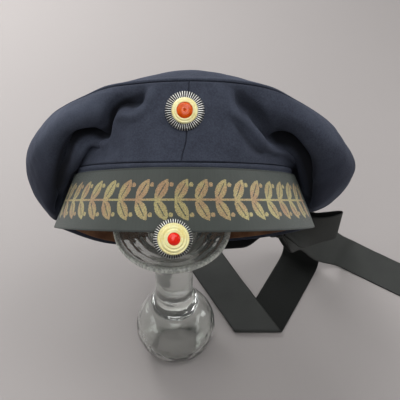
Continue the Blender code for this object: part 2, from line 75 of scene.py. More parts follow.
# --- crown ---
CLOTH = 2.0
CROWN_CENTRE = (4.4, 10.0)
TOP_CENTRE_HEIGHT = 63.8
SIDE_SECTIONS = (
    # angle, crease r, n,  lowest r, n,   widest r, n,    seam r, n
    (-180, 103.0, 28.0, 113.0, 10.0, 123.0, 10.0, 116.0, 24.0),
    (-150, 101.0, 31.5, 112.0, 9.5, 122.0, 14.0, 114.0, 30.0),
    (-120, 95.0, 39.0, 107.0, 8.5, 119.5, 24.5, 111.0, 49.0),
    (-90, 84.5, 44.5, 100.0, 6.5, 117.6, 38.0, 107.0, 68.0),
    (-72, 84.6, 45.0, 99.5, 17.0, 115.8, 44.0, 104.0, 76.0),
    (-57, 85.5, 51.0, 96.0, 42.0, 110.8, 58.5, 101.0, 81.0),
    (-44, 88.5, 57.0, 91.5, 64.0, 105.2, 72.0, 99.0, 85.5),
    (-32, 94.0, 57.0, 93.5, 68.0, 99.0, 79.0, 99.5, 89.5),
    (-18, 100.5, 55.0, 100.3, 67.0, 100.5, 79.0, 100.5, 91.0),
    (0, 104.7, 55.0, 104.5, 67.0, 104.0, 80.0, 103.0, 91.5),
    (18, 100.5, 55.0, 100.3, 67.0, 100.5, 79.0, 100.5, 91.0),
    (32, 93.5, 57.0, 94.0, 68.0, 99.0, 79.0, 99.5, 88.5),
    (44, 86.5, 57.0, 92.0, 62.0, 105.7, 69.5, 99.5, 83.0),
    (57, 81.5, 51.0, 91.0, 45.0, 111.3, 56.0, 101.0, 77.0),
    (72, 78.0, 46.0, 88.5, 21.0, 116.2, 43.5, 104.0, 71.0),
    (90, 76.0, 44.5, 87.5, 13.5, 118.0, 38.5, 107.0, 65.0),
    (120, 88.0, 39.0, 100.0, 12.0, 119.8, 26.5, 111.0, 48.0),
    (150, 99.0, 31.5, 110.0, 11.0, 123.0, 15.0, 114.0, 30.0),
)
TOP_FRACTIONS = (0.37, 0.65, 0.85)
TOP_SECTIONS = (
    # angle, height at 0.37, 0.65, 0.85
    (-180, 33.0, 33.8, 34.0),
    (-150, 36.8, 38.5, 38.0),
    (-120, 50.7, 51.0, 51.5),
    (-90, 63.8, 66.0, 70.0),
    (-60, 77.0, 82.5, 83.0),
    (-30, 86.5, 95.5, 94.0),
    (0, 90.0, 102.0, 99.5),
    (30, 86.5, 95.5, 93.0),
    (60, 77.0, 80.5, 79.0),
    (90, 63.8, 64.5, 67.5),
    (120, 50.7, 50.5, 51.0),
    (150, 38.3, 39.0, 38.0),
)

# Folds in the crown's side: height (negative is a hollow) and half width in mm, then the line that
# each runs along, as pairs of angle and share of the way from the band to the seam.
FOLDS = (
    ("left valley", -8.6, 4.6, ((-16.5, 0.82), (-19.0, 0.77), (-23.0, 0.78), (-26.5, 0.775),
        (-30.0, 0.71), (-33.0, 0.57), (-36.5, 0.45), (-43.0, 0.43), (-46.5, 0.49), (-49.0, 0.51),
        (-52.5, 0.50), (-56.5, 0.475), (-62.0, 0.43), (-68.5, 0.40), (-76.0, 0.375))),
    ("left panel edge", 3.1, 3.6, ((-12.0, 0.90), (-15.0, 0.77), (-16.5, 0.68), (-19.0, 0.625),
        (-22.5, 0.65), (-25.5, 0.69), (-29.0, 0.62), (-31.0, 0.50))),
    ("left lobe", 3.2, 3.6, ((-36.0, 0.355), (-39.0, 0.34), (-45.5, 0.375), (-48.5, 0.405),
        (-51.0, 0.40), (-54.5, 0.37), (-61.0, 0.30))),
    ("left gulf", -11.0, 6.2, ((-55.0, 0.44), (-60.0, 0.42), (-66.0, 0.39), (-72.0, 0.35),
        (-77.0, 0.32))),
    ("dimple", -2.4, 2.6, ((-49.0, 0.31), (-45.5, 0.275), (-40.0, 0.30))),
    ("left roll", 3.0, 10.5, ((-27.0, 0.95), (-33.0, 0.82), (-39.0, 0.74), (-46.0, 0.74),
        (-56.0, 0.80), (-70.0, 0.84), (-85.0, 0.87), (-105.0, 0.88), (-125.0, 0.88))),
    ("right ridge", 3.1, 3.5, ((14.0, 0.89), (14.5, 0.74), (15.5, 0.65), (19.5, 0.60), (22.5, 0.54),
        (25.5, 0.45), (31.0, 0.37), (42.5, 0.27), (54.0, 0.19), (66.0, 0.14))),
    ("right valley", -8.6, 6.0, ((17.0, 0.84), (20.5, 0.785), (24.5, 0.715), (28.5, 0.61),
        (32.0, 0.50), (41.5, 0.43), (49.5, 0.395), (59.5, 0.39), (71.5, 0.36))),
    ("right gulf", -6.0, 5.4, ((44.0, 0.41), (50.0, 0.395), (60.0, 0.385), (71.0, 0.36),
        (82.0, 0.32))),
    ("right hollow", -2.7, 4.2, ((16.0, 0.58), (19.0, 0.475), (22.0, 0.375), (26.5, 0.283),
        (38.0, 0.18))),
    ("right roll", 0.8, 12.0, ((27.0, 0.96), (38.0, 0.92), (52.0, 0.88), (70.0, 0.88),
        (95.0, 0.88))),
    ("lit fold", 1.4, 2.2, ((66.0, 0.345), (64.8, 0.42), (64.5, 0.49))),
    ("small dark", -1.2, 2.6, ((5.8, 0.97), (7.3, 0.86), (8.2, 0.77))),
    ("small light", 1.1, 3.0, ((10.2, 0.95), (10.0, 0.83), (8.8, 0.70))),
    ("crease by the seam", 0.7, 1.6, ((0.8, 0.98), (-0.4, 0.90), (-1.4, 0.80))),
)

SIDE_MM_PER_DEGREE = 1.8
FOLD_BUMPS = 60                             # along each fold
FRONT_SEAM_SLIDE = 1.9                      # keeps the front seam straight from band to top
FRONT_RADIUS = SIDE_SECTIONS[9][1]          # of the side's foot at angle 0
HALF_SEAM_GAP = 0.12
SIDE_RADIUS, SIDE_HEIGHT = 105.0, 90.0      # typical ones, by which its steps are spaced
SIDE_WAVES = ((0.55, 42.0, 3), (0.16, 13.0, 5))     # unevenness: height, size, seed
TOP_WAVES = ((0.9, 60.0, 8), (0.2, 17.0, 9))
# Painted shade in the crown's fold hollows and on its low sides.
PAINTED_SHADE_ANGLES = (-32.0, -20.0, 38.0, 60.0)
PAINTED_SHADE_DEPTHS = (8.4, 2.4, 2.4, 8.4)        # of a hollow that the wool's painted shade still follows
PAINTED_SHADE_HEIGHTS = (211.0, 248.0)                  # heights over the table of the painted shade on the crown's low sides: all dark, not darker at all

# --- cockades: a ribbed metal ring, a pale dome and a red boss ---
RIBS = 48
RING_PLATE = 1.2
DOME_BASE = RING_PLATE + 0.9
SEAT_SHARE = 0.45                           # height of the boss's seat, of the dome's
COCKADES = (
    # name, x, n, ring r, dome r, boss r, dome height, yaw to the right (degrees)
    ("cockade_upper", 1.8, 73.3, 12.1, 8.0, 5.2, 2.6, 0.0),
    ("cockade_lower", -5.4, -4.1, 12.2, 9.8, 4.2, 3.4, 10.0),
)

# Rings pressed into the domes: radius, half width, height.
UPPER_RINGS = ((7.3, 0.35, 0.16), (6.5, 0.35, -0.22), (5.7, 0.3, 0.18))
LOWER_RINGS = ((9.3, 0.4, 0.22), (8.3, 0.4, -0.4), (7.3, 0.45, 0.22), (6.3, 0.35, -0.35),
               (5.3, 0.4, 0.2))

# --- glass ---
GLASS_STEPS = 160
RING_PITCH, RING_DEPTH = 7.6, 1.1           # of the rings pressed into its top plate
RIM_FROM = (0.0405, 0.0418)                 # radii in metres where its frosted rim begins
STEM_FROM, PLATE_FROM = (0.056, 0.070), (0.136, 0.142)      # heights in metres
GLASS_PROFILE = (
    # radius, height: from the middle of the top plate out, down and back up inside the bowl
    (0.0, 147.4), (19.0, 147.4), (20.4, 148.6), (31.0, 149.4), (32.6, 151.0), (38.0, 151.8),
    (42.4, 153.9), (44.0, 153.5), (44.6, 151.9), (44.0, 149.6), (40.6, 147.6), (30.0, 144.4),
    (20.0, 141.0), (16.4, 136.5), (15.6, 125.0), (15.2, 100.0), (15.0, 74.0), (17.2, 65.0),
    (22.0, 56.5), (27.6, 47.5), (32.2, 38.0), (34.2, 28.0), (33.4, 18.0), (29.4, 8.5),
    (23.8, 2.4), (18.6, 0.0), (16.0, 0.0), (21.4, 4.0), (26.8, 10.0), (30.8, 18.8), (31.6, 28.0),
    (29.8, 37.0), (25.4, 45.5), (19.8, 53.0), (16.2, 55.0), (13.6, 53.4), (12.0, 50.6), (6.4, 48.6),
    (0.0, 48.0),
)

# --- bow and tails, from the glass axis ---
KNOT_ANGLE = 130.0
KNOT_HEIGHT = 10.0                          # of its middle, over the band's lower edge
KNOT_SIZE = (13.0, 9.0, 25.0)
PINCH = 0.5                                 # width where the knot grips it, of its full one
PINCH_LENGTH = 26.0
TABLE_CLEARANCE = 0.05                      # under a tail that lies on the table
LEFT_LOOP_ANGLES = (137.0, 194.0)
LEFT_LOOP_OFFSETS = (3.6, 7.2)              # of its two layers from the band's cloth
LEFT_LOOP_DROP = 8.0                        # how far its lower edge hangs below the band
LOOP_OPENING = 5.0
# Rows of: x, y, z of the ribbon's middle; direction across, turned from +x and raised from level.
RIGHT_LOOP = (
    (88.4, 24.6, 127.0, 90.0, 43.6),
    (98.0, 24.6, 121.0, 92.0, 62.0),
    (110.0, 27.0, 117.6, 93.0, 90.0),
    (122.0, 29.0, 118.5, 93.0, 98.0),
    (134.0, 31.0, 119.5, 93.0, 98.0),
)
RIGHT_TAIL = (
    (88.4, 29.4, 120.2, 90.0, 43.6),
    (98.2, 38.2, 103.7, 84.0, 50.0),
    (110.0, 54.5, 87.0, 75.0, 54.0),
    (126.0, 72.5, 56.0, 67.0, 38.0),
    (147.0, 90.5, 19.5, 58.0, 8.0),
    (164.0, 97.5, 3.2, 57.0, 1.0),
    (182.3, 87.4, 0.6, 56.3, 0.0),
    (200.0, 75.6, 0.6, 56.3, 0.0),
    (218.0, 63.6, 0.6, 56.3, 0.0),
    (236.0, 51.6, 0.6, 56.3, 0.0),
)
LEFT_TAIL = (
    (84.4, 32.9, 117.0, 90.0, 43.6),
    (88.4, 40.4, 100.5, 112.0, 32.0),
    (92.6, 56.0, 78.0, 130.0, 16.0),
    (103.0, 74.5, 50.0, 147.0, 4.0),
    (115.0, 88.5, 26.0, 151.7, 0.0),
    (118.0, 91.0, 12.0, 151.7, 0.0),
    (117.0, 89.0, 3.2, 151.7, 0.0),
    (113.5, 82.5, 0.7, 151.7, 0.0),
    (106.0, 68.4, 0.6, 151.7, 0.0),
    (94.9, 47.6, 0.6, 151.7, 0.0),
    (85.5, 30.0, 0.6, 151.7, 0.0),
    (79.8, 19.4, 0.6, 151.7, 0.0),
    (66.5, -5.2, 0.6, 151.7, 0.0),
    (2.1, -124.9, 0.6, 151.7, 0.0),
)
LEFT_TAIL_LENGTH = 359.2
LEFT_TAIL_ROWS, RIGHT_TAIL_ROWS, RIBBON_COLUMNS = 430, 330, 44
FOLD_AT = 226.4                             # along the left tail
FOLD_LINE_Y = 9.0
FOLD_RADIUS = 1.6
FOLD_SLANT = 0.5386                         # of the fold line across the ribbon
FOLD_REACH = 40.0                           # how far from the fold its cross lines slant
END_SINKS = ((0.0, 38.0, 1.9), (40.0, 22.0, 1.3))   # of the end on top: from, over, by how much
UNDERSIDE = 1000.0                          # added along a ribbon on its other face, the dull one
TAIL_WALL = 0.8

# --- ornament woven into the ribbon: a garland of leaf pairs with berries between ---
ORNAMENT_MIDDLE = 18.6                      # over the ribbon's lower edge
ORNAMENT_REPEAT = 12.4
ORNAMENT_REACH = 116.0                      # to each side of the front, along the ribbon
LEAF = (7.4, 3.5)                           # half length, half width
LEAF_AT = (-0.4, 5.6)                       # its middle, from the garland's stem
LEAF_LEAN = math.radians(58.0)
BERRY_AT, BERRY_RADIUS = (5.6, 8.6), 1.35
THREAD = 0.42                               # one step of the weave's edge
RIB_PITCH = 0.62                            # of the silk's ribs, along the ribbon

# --- lights: name, where, what it is turned to, size, watts ---
CAP, BALL = (-0.05, 0.0, 0.12), (-0.07, -0.017, 0.035)
LIGHTS = (
    ("behind", (-0.05, 1.391, 0.662), CAP, (0.8, 0.8), 4.2),
    ("back left", (-0.45, 0.40, 1.49), CAP, (0.8, 0.8), 4.9),
    ("left", (-0.90, -0.18, 1.36), CAP, (0.8, 0.8), 2.2),
    ("right", (0.49, -0.14, 1.49), CAP, (0.8, 0.8), 4.6),
    ("above", (-0.05, 0.02, 1.60), CAP, (0.8, 0.8), 1.4),
    ("front", (0.0, -0.60, 1.49), CAP, (0.8, 0.8), 3.2),
    ("near front", (-0.02, -0.62, 0.85), (-0.05, -0.10, 0.05), (0.5, 0.5), 1.8),
    ("backdrop", (-0.48, 0.66, 0.55), (-0.36, 0.46, 0.0), (0.3, 0.3), 3.7),
    ("low left", (-0.85, -0.10, 0.28), (-0.07, -0.02, 0.06), (0.45, 0.14), 0.9),
    ("low right", (0.72, -0.02, 0.33), (-0.07, -0.02, 0.06), (0.30, 0.16), 0.8),
    ("far left", (-0.70, 0.38, 0.10), BALL, (0.26, 0.12), 0.6),
    ("far right", (0.60, 0.24, 0.10), BALL, (0.26, 0.12), 0.6),
)


# --- curves and frames ---

def clamped(share):
    """Kept between 0 and 1."""
    return np.clip(share, 0.0, 1.0)


def eased(share):
    """From 0 to 1 with a level start and end: three of its squares less two of its cubes."""
    return share * share * (3 - 2 * share)


def bump(at, middle, half_width):
    """Bell round a middle: e to the minus square of the distance in half widths."""
    return np.exp(-((at - middle) / half_width) ** 2)


def curve_through(knots, values, at, period=None):
    """Smooth curve through rows of values: cubic between knots, with the slope at each knot
    taken from its two neighbours. With a period the rows go round and meet."""
    knots, values, at = (np.asarray(a, float) for a in (knots, values, at))
    if period:
        knots = np.concatenate((knots[-1:] - period, knots, knots[:2] + period))
        values = np.concatenate((values[-1:], values, values[:2]))
        at = (at - knots[1]) % period + knots[1]
    slopes = np.gradient(values, knots, axis=0)
    cell = np.clip(np.searchsorted(knots, at, side="right") - 1, 0, len(knots) - 2)
    span = (knots[cell + 1] - knots[cell])[:, None]
    t = (at - knots[cell])[:, None] / span
    return ((1 + 2 * t) * (1 - t) ** 2 * values[cell] + t * (1 - t) ** 2 * span * slopes[cell]
            + eased(t) * values[cell + 1] - t * t * (1 - t) * span * slopes[cell + 1])


def running_length(points, axis=0):
    """Length run so far along a line of points, or along each line of a grid."""
    steps = np.linalg.norm(np.diff(points, axis=axis), axis=-1)
    start = np.zeros_like(np.take(steps, [0], axis=axis))
    return np.cumsum(np.concatenate((start, steps), axis=axis), axis=axis)


def unit(vectors):
    """Vectors brought to length 1."""
    return vectors / np.maximum(np.linalg.norm(vectors, axis=-1, keepdims=True), 1e-9)


def cap_to_world(points):
    """From the cap's own frame: tip it back, then set it on the glass."""
    x, y, z = points[..., 0], points[..., 1], points[..., 2]
    turned = np.stack([x, y * math.cos(CAP_TILT) + z * math.sin(CAP_TILT),
                       z * math.cos(CAP_TILT) - y * math.sin(CAP_TILT)], axis=-1)
    return turned + CAP_AT + GLASS_AXIS_AT


def spaced(length, count, wall):
    """Shares of a length from 0 to 1, even but for extra steps where each edge rounds off."""
    rim = np.array([0.0, 0.03, 0.13, 0.3, 0.55, 0.8]) * wall / 2 / length
    inner = np.linspace(wall / 2 / length, 1.0 - wall / 2 / length, count)
    return np.concatenate((rim, inner, 1.0 - rim[::-1]))


def soft_waves(points, size, seed, count=7):
    """Gentle unevenness between about -1 and 1: a few sine waves of random direction, added up."""
    rng = np.random.default_rng(seed)
    total = np.zeros(points.shape[:-1])
    for _ in range(count):
        direction = unit(rng.normal(size=3)) * 2 * math.pi / (size * rng.uniform(0.6, 1.6))
        total += np.sin(points @ direction + rng.uniform(0, 2 * math.pi))
    return total / math.sqrt(count)


def uneven(points, waves):
    """Waves of several heights and sizes, added up."""
    return sum(height * soft_waves(points, size, seed) for height, size, seed in waves)


# --- meshes ---

def add_object(name, data):
    """Put a mesh, a light or the camera into the scene."""
    thing = bpy.data.objects.new(name, data)
    bpy.context.scene.collection.objects.link(thing)
    return thing


def grid_normals(points, round_rows=False):
    """Unit normals of a grid of points: rows cross columns."""
    if round_rows:
        points = np.concatenate((points[-1:], points, points[:1]))
    normals = unit(np.cross(np.gradient(points, axis=0), np.gradient(points, axis=1)))
    return normals[1:-1] if round_rows else normals


def grid_quads(index, round_rows):
    """Corners of the quads of a grid of point numbers, and of their places in the grid."""
    rows, columns = index.shape
    i, j = np.indices((rows if round_rows else rows - 1, columns - 1)).reshape(2, -1)
    corners = ((i, j), (i + 1, j), (i + 1, j + 1), (i, j + 1))
    places = np.stack([np.stack(corner, 1) for corner in corners], axis=1)
    return index[places[..., 0] % rows, places[..., 1]], places


def add_piece(name, points, quads, material, corner_uv):
    """Mesh piece from points in mm, quads and, where its material needs it, UV at each corner."""
    kept = [list(dict.fromkeys(quad)) for quad in quads.tolist()]
    mesh = bpy.data.meshes.new(name)
    mesh.from_pydata((points * MM).tolist(), [], kept)
    if corner_uv is not None:
        layer = mesh.uv_layers.new(name="cloth")
        if any(len(quad) < 4 for quad in kept):
            uv = np.concatenate([corner_uv[k, [quads[k].tolist().index(p) for p in quad]]
                                 for k, quad in enumerate(kept)])
        else:
            uv = corner_uv.reshape(-1, 2)
        layer.data.foreach_set("uv", (uv / UV_MM).astype(np.float32).ravel())
    mesh.shade_smooth()
    mesh.materials.append(material)
    return add_object(name, mesh)


def add_shell(name, points, index, corner_uv, material, place):
    """Piece over a grid of point numbers whose rows go round and meet. Unused points are dropped,
    place moves the others, and corner_uv gives the UV at a row and a column."""
    quads, places = grid_quads(index, round_rows=True)
    used, quads = np.unique(quads, return_inverse=True)
    points = points.reshape(-1, 3)[used]
    return add_piece(name, place(points), quads.reshape(-1, 4), material,
                     corner_uv(places[..., 0], places[..., 1]))


def add_cloth(name, middle, wall, material, uv=None, round_rows=False, pole=False,
              other_face=0.0):
    """Closed piece of cloth round a grid of middle points. It thins away over its last half wall,
    so every free edge is round. With a pole the last column is one point in the middle."""
    rows, columns = middle.shape[:2]
    along = running_length(middle, axis=1)
    reach = along if pole else np.minimum(along, along[:, -1:] - along)
    if not round_rows:
        down = running_length(middle, axis=0)
        reach = np.minimum(reach, np.minimum(down, down[-1:] - down))
    radius = wall / 2
    half = np.sqrt(clamped(1 - (1 - clamped(reach / radius)) ** 2)) * radius
    normals = grid_normals(middle, round_rows)
    if pole:
        normals[:, -1] = unit(normals[:, -2].mean(axis=0))
    front = np.arange(rows * columns).reshape(rows, columns)
    if pole:
        front[:, -1] = front[0, -1]
    back = np.where(reach > 0.0, front + rows * columns, front)
    lift = normals * half[..., None]
    points = np.concatenate((middle + lift, middle - lift)).reshape(-1, 3)
    front_quads, places = grid_quads(front, round_rows)
    back_quads, _ = grid_quads(back, round_rows)
    quads = np.concatenate((front_quads, back_quads[:, ::-1]))
    corner_uv = None
    if uv is not None:
        at = uv[places[..., 0], places[..., 1]]
        corner_uv = np.concatenate((at, at[:, ::-1] + np.array([other_face, 0.0])))
    used, quads = np.unique(quads, return_inverse=True)
    return add_piece(name, points[used], quads.reshape(-1, 4), material, corner_uv)


def add_turned(name, profile, steps, material, place):
    """Turn a profile of (radius, height) round its upright axis; place moves the points after that.
    Its UV is how far round a point is, and its radius."""
    radius, height = np.array(profile, float).T
    angle = (np.arange(steps) * 2 * math.pi / steps)[:, None]
    ring = np.stack(np.broadcast_arrays(np.cos(angle) * radius, np.sin(angle) * radius, height),
                    axis=-1)
    index = np.arange(steps * len(radius)).reshape(steps, -1)
    for column in (0, -1):
        if radius[column] < 1e-6:
            index[:, column] = index[0, column]
    return add_shell(name, ring, index, lambda row, column: round_uv(row, steps, radius[column]),
                     material, place)


def round_uv(row, steps, radius):
    """UV of a round piece: hundredths of a turn, and radius."""
    return np.stack([row * UV_MM / steps, radius], axis=-1)


def rounded(profile, rounds):
    """Cut the corners off a line of points, again and again, which bends it smoothly."""
    line = np.array(profile, float)
    for _ in range(rounds):
        inner = np.stack([0.75 * line[:-1] + 0.25 * line[1:],
                          0.25 * line[:-1] + 0.75 * line[1:]], axis=1)
        line = np.concatenate((line[:1], inner.reshape(-1, line.shape[1]), line[-1:]))
    return line


# --- materials ---

def plug(tree, socket, value):
    """Connect a wire to a socket, or set a number or colour on it."""
    if isinstance(value, Wire):
        tree.links.new(value.socket, socket)
    elif isinstance(value, tuple) and len(value) == 3 and socket.type == "RGBA":
        socket.default_value = (*value, 1.0)
    else:
        socket.default_value = value


def maths(operation, reflected=False):
    """Method of a wire that adds a Math node on it and on what it is combined with."""
    def method(wire, *others):
        node = wire.tree.nodes.new("ShaderNodeMath")
        node.operation = operation
        for socket, value in zip(node.inputs, (*others, wire) if reflected else (wire, *others)):
            plug(wire.tree, socket, value)
        return Wire(wire.tree, node.outputs[0])
    return method


class Wire:
    """What one shader socket carries. Arithmetic on wires adds the nodes that work it out."""

    def __init__(self, tree, socket):
        self.tree, self.socket = tree, socket

    __add__, __radd__ = maths("ADD"), maths("ADD", reflected=True)
    __sub__, __rsub__ = maths("SUBTRACT"), maths("SUBTRACT", reflected=True)
    __mul__, __rmul__ = maths("MULTIPLY"), maths("MULTIPLY", reflected=True)
    __abs__, floor, power = maths("ABSOLUTE"), maths("FLOOR"), maths("POWER")
    sine, cosine, wrap = maths("SINE"), maths("COSINE"), maths("WRAP")
    below, larger, smaller = maths("LESS_THAN"), maths("MAXIMUM"), maths("MINIMUM")

    def wrapped(self, size):
        """Runs from -size/2 to size/2, over and over."""
        return self.wrap(size / 2, -size / 2)

    def between(self, low, high):
        """0 up to low, 1 from high on, smooth in between."""
        node = self.tree.nodes.new("ShaderNodeMapRange")
        node.interpolation_type = "SMOOTHSTEP"
        plug(self.tree, node.inputs["Value"], self)
        plug(self.tree, node.inputs["From Min"], low)
        plug(self.tree, node.inputs["From Max"], high)
        return Wire(self.tree, node.outputs["Result"])


class Finish:
    """A material in the making: its node tree, and the shader that everything is plugged into."""

    def __init__(self, name, constants):
        self.material = bpy.data.materials.new(name)
        self.material.use_nodes = True
        self.tree = self.material.node_tree
        self.shader = self.tree.nodes["Principled BSDF"]
        self.set(constants)

    def set(self, values):
        """Set or connect inputs of the shader."""
        for name, value in values.items():
            plug(self.tree, self.shader.inputs[name], value)

    def node(self, kind, inputs=(), output=0, **settings):
        """Add a node of a kind and return the wire from one of its outputs."""
        node = self.tree.nodes.new(kind)
        for name, value in settings.items():
            setattr(node, name, value)
        for name, value in dict(inputs).items():
            plug(self.tree, node.inputs[name], value)
        return Wire(self.tree, node.outputs[output])

    def place(self):
        """Where a point is on the object, in metres."""
        return self.node("ShaderNodeTexCoord", output="Object")

    def cloth(self):
        """The two UV numbers of a point, such as how far along and across its cloth it is in mm."""
        along, across, _ = self.split(self.node("ShaderNodeUVMap", uv_map="cloth"))
        return along * UV_MM, across * UV_MM

    def split(self, vector):
        """The three numbers of a vector."""
        node = self.tree.nodes.new("ShaderNodeSeparateXYZ")
        plug(self.tree, node.inputs[0], vector)
        return [Wire(self.tree, socket) for socket in node.outputs]

    def joined(self, x, y, z=0.0):
        """The vector of three numbers."""
        return self.node("ShaderNodeCombineXYZ", {"X": x, "Y": y, "Z": z})

    def noise(self, at, grain, detail, roughness=0.55):
        """Cloudy unevenness round 0.5, with lumps about grain across."""
        return self.node("ShaderNodeTexNoise", {"Vector": at, "Scale": 1.0 / grain,
                                                "Detail": detail, "Roughness": roughness})

    def mixed(self, share, first, second):
        """The first colour at a share of 0, the second at 1."""
        return self.node("ShaderNodeMix", {0: share, 6: first, 7: second}, output=2,
                         data_type="RGBA")

    def relief(self, height, depth):
        """Bump whose height is worked out in metres times depth."""
        return self.node("ShaderNodeBump",
                         {"Height": height, "Distance": depth, "Strength": 1.0})


def wool_cloth():
    """Dense navy broadcloth: matt, nearly black, with a fine nap. Three noises, added up, mix its
    colour. Painted light makes it lighter on raised folds; painted shade makes it darker on the
    crown's low sides and in the folds' hollows."""
    wool = Finish("navy_wool", {"Roughness": 0.92, "Specular IOR Level": 0.25,
                                "Sheen Weight": 0.10, "Sheen Roughness": 0.45,
                                "Sheen Tint": (0.50, 0.58, 0.85, 1.0)})
    at = wool.place()
    worn, mottled = wool.noise(at, 0.035, 3.0), wool.noise(at, 0.010, 3.0)
    nap = wool.noise(at, 0.0011, 4.0, 0.7)
    fibres = wool.noise(at, 0.00045, 2.0, 0.6)
    share = (0.22 + 0.12 * worn.between(0.25, 0.75) + 0.18 * mottled.between(0.3, 0.7)
             + 0.48 * nap.between(0.25, 0.8)).smaller(1.0)
    lift, painted_low_shade = wool.cloth()
    # Painted light: lighter on the tops of raised folds. Painted shade: darker where the crown's
    # side hangs low.
    tone_and_painted_light = (share + 0.35 * lift.between(0.4, 3.2)).smaller(1.0) * (1.0 - 0.9 * painted_low_shade)
    colour = wool.mixed(tone_and_painted_light, (0.016, 0.0185, 0.030), (0.066, 0.076, 0.106))
    # Painted shade: near black in the folds' hollows.
    hollow = (0.0 - lift).between(0.5, 4.6) * 0.93
    colour = wool.mixed(hollow, colour, (0.0025, 0.0028, 0.0045))
    wool.set({"Base Color": colour,
              "Normal": wool.relief(0.7 * nap + 0.3 * fibres + 1.5 * mottled, 0.00022)})
    return wool.material


def ribbed_silk(name, dark, light, gold=False, dull=None):
    """Corded silk ribbon with ribs across it, a sine along it, and a firm edge; some carries the
    woven gold ornament. Dull, where given, is the colour of its other face."""
    silk = Finish(name, {"Specular IOR Level": 0.5 if gold else 0.25,
                         "Sheen Weight": 0.12 if gold else 0.04, "Sheen Roughness": 0.4,
                         "Sheen Tint": (0.8, 0.9, 0.85, 1.0)})
    along, across = silk.cloth()
    at = silk.place()
    rib = (along * (2 * math.pi / RIB_PITCH)).sine()
    worn = silk.noise(at, 0.022, 3.0)
    slub = silk.noise(silk.joined(along * 1.6, across * 0.05), 1.0, 2.0)
    share = (0.75 * worn + 0.45 * slub - 0.1).smaller(1.0).larger(0.0)
    colour = silk.mixed(share, dark, light)
    rough = 0.5 + 0.12 * worn
    if dull:
        underside = along.between(UNDERSIDE / 2 - 1.0, UNDERSIDE / 2)
        colour = silk.mixed(underside, colour, dull)
        rough = rough + 0.3 * underside
    edge = abs(across - RIBBON_WIDTH / 2)
    selvedge = edge.between(RIBBON_WIDTH / 2 - 1.3, RIBBON_WIDTH / 2 - 0.9)
    colour = silk.mixed(selvedge * 0.6, colour, tuple(0.4 * c for c in dark))
    height = 0.5 * rib + 0.35 * slub
    if gold:
        gilt = woven_ornament(along, across)
        thread = silk.noise(silk.joined(along * 0.9, across * 3.2), 1.0, 2.0, 0.6)
        tarnish = silk.noise(at, 0.012, 2.0).between(0.35, 0.66)
        bright = silk.mixed(tarnish, (0.66, 0.58, 0.27), (0.60, 0.38, 0.22))
        bright = silk.mixed(thread.between(0.42, 0.62) * 0.75, bright, (0.20, 0.16, 0.08))
        colour = silk.mixed(gilt, colour, bright)
        rough = rough + gilt * -0.12
        height = height + gilt * (0.9 + 0.5 * thread)
        silk.set({"Metallic": gilt * 0.35})
    silk.set({"Base Color": colour, "Roughness": rough, "Normal": silk.relief(height, 0.00012)})
    return silk.material


def woven_ornament(along, across):
    """1 on the gold garland, 0 beside it: leaves between two parabolas, round berries and a stem.
    The figure steps from thread to thread, as weaving does."""
    step_along = ((along * (1 / THREAD)).floor() + 0.5) * THREAD
    step_up = ((across * (1 / THREAD)).floor() + 0.5) * THREAD - ORNAMENT_MIDDLE
    x, y = step_along.wrapped(ORNAMENT_REPEAT), abs(step_up)
    right, up = x - LEAF_AT[0], y - LEAF_AT[1]
    lengthways = right * math.cos(LEAF_LEAN) + up * math.sin(LEAF_LEAN)
    sideways = abs(up * math.cos(LEAF_LEAN) - right * math.sin(LEAF_LEAN))
    taper = lengthways * lengthways * (-LEAF[1] / LEAF[0] ** 2) + LEAF[1]
    leaf = sideways.below(taper) - sideways.below(0.3) * abs(lengthways).below(LEAF[0] * 0.6)
    off_x, off_y = (x - BERRY_AT[0]).wrapped(ORNAMENT_REPEAT), y - BERRY_AT[1]
    berry = (off_x * off_x + off_y * off_y).below(BERRY_RADIUS ** 2)
    stem = y.below(0.7)
    return (leaf + berry + stem).smaller(1.0) * abs(along).below(ORNAMENT_REACH)


def brown_leather():
    """Worn brown leather: a fine grain, and one cloudy noise for its colour and its gloss."""
    leather = Finish("brown_leather", {"Specular IOR Level": 0.5})
    at = leather.place()
    grain = leather.node("ShaderNodeTexVoronoi", {"Vector": at, "Scale": 900.0})
    worn = leather.noise(at, 0.02, 4.0)
    leather.set({"Base Color": leather.mixed(worn.between(0.3, 0.7), (0.13, 0.050, 0.020),
                                             (0.33, 0.155, 0.070)),
                 "Roughness": 0.42 + 0.25 * worn,
                 "Normal": leather.relief(grain + 0.8 * worn, 0.00018)})
    return leather.material


def clear_glass():
    """Old pressed glass: clear, a little uneven and cloudy from wear, frosted at its rim."""
    glass = Finish("clear_glass", {"Base Color": (0.93, 0.95, 0.925), "IOR": 1.5,
                                   "Transmission Weight": 0.97})
    at = glass.place()
    x, y, z = glass.split(at)
    x, y = x - GLASS_AXIS_AT[0] * MM, y - GLASS_AXIS_AT[1] * MM
    radius = (x * x + y * y).power(0.5)
    rim, plate = radius.between(*RIM_FROM), z.between(*PLATE_FROM)
    stem = z.between(*STEM_FROM) * (1.0 - plate)
    worn, wave = glass.noise(at, 0.012, 3.0), glass.noise(at, 0.009, 1.0)
    streaks = glass.noise(glass.joined(x * 14.0, y * 14.0, z * 2.0), 0.025, 2.0)
    streaks = streaks.between(0.35, 0.65)
    glass.set({"Roughness": 0.02 + 0.04 * worn.between(0.45, 0.75) + 0.10 * stem + 0.05 * plate,
               "Normal": glass.relief(wave, 0.0007)})
    frost = glass.tree.nodes.new("ShaderNodeBsdfPrincipled")
    for name, value in {"Base Color": (0.80, 0.83, 0.76), "Roughness": 0.45,
                        "Specular IOR Level": 0.6}.items():
        plug(glass.tree, frost.inputs[name], value)
    blend = glass.tree.nodes.new("ShaderNodeMixShader")
    clouded = (rim * (0.38 + 0.4 * streaks) + 0.16 * stem + 0.15 * plate).smaller(1.0)
    plug(glass.tree, blend.inputs[0], clouded)
    glass.tree.links.new(glass.shader.outputs[0], blend.inputs[1])
    glass.tree.links.new(frost.outputs[0], blend.inputs[2])
    glass.tree.links.new(blend.outputs[0], glass.tree.nodes["Material Output"].inputs["Surface"])
    return glass.material


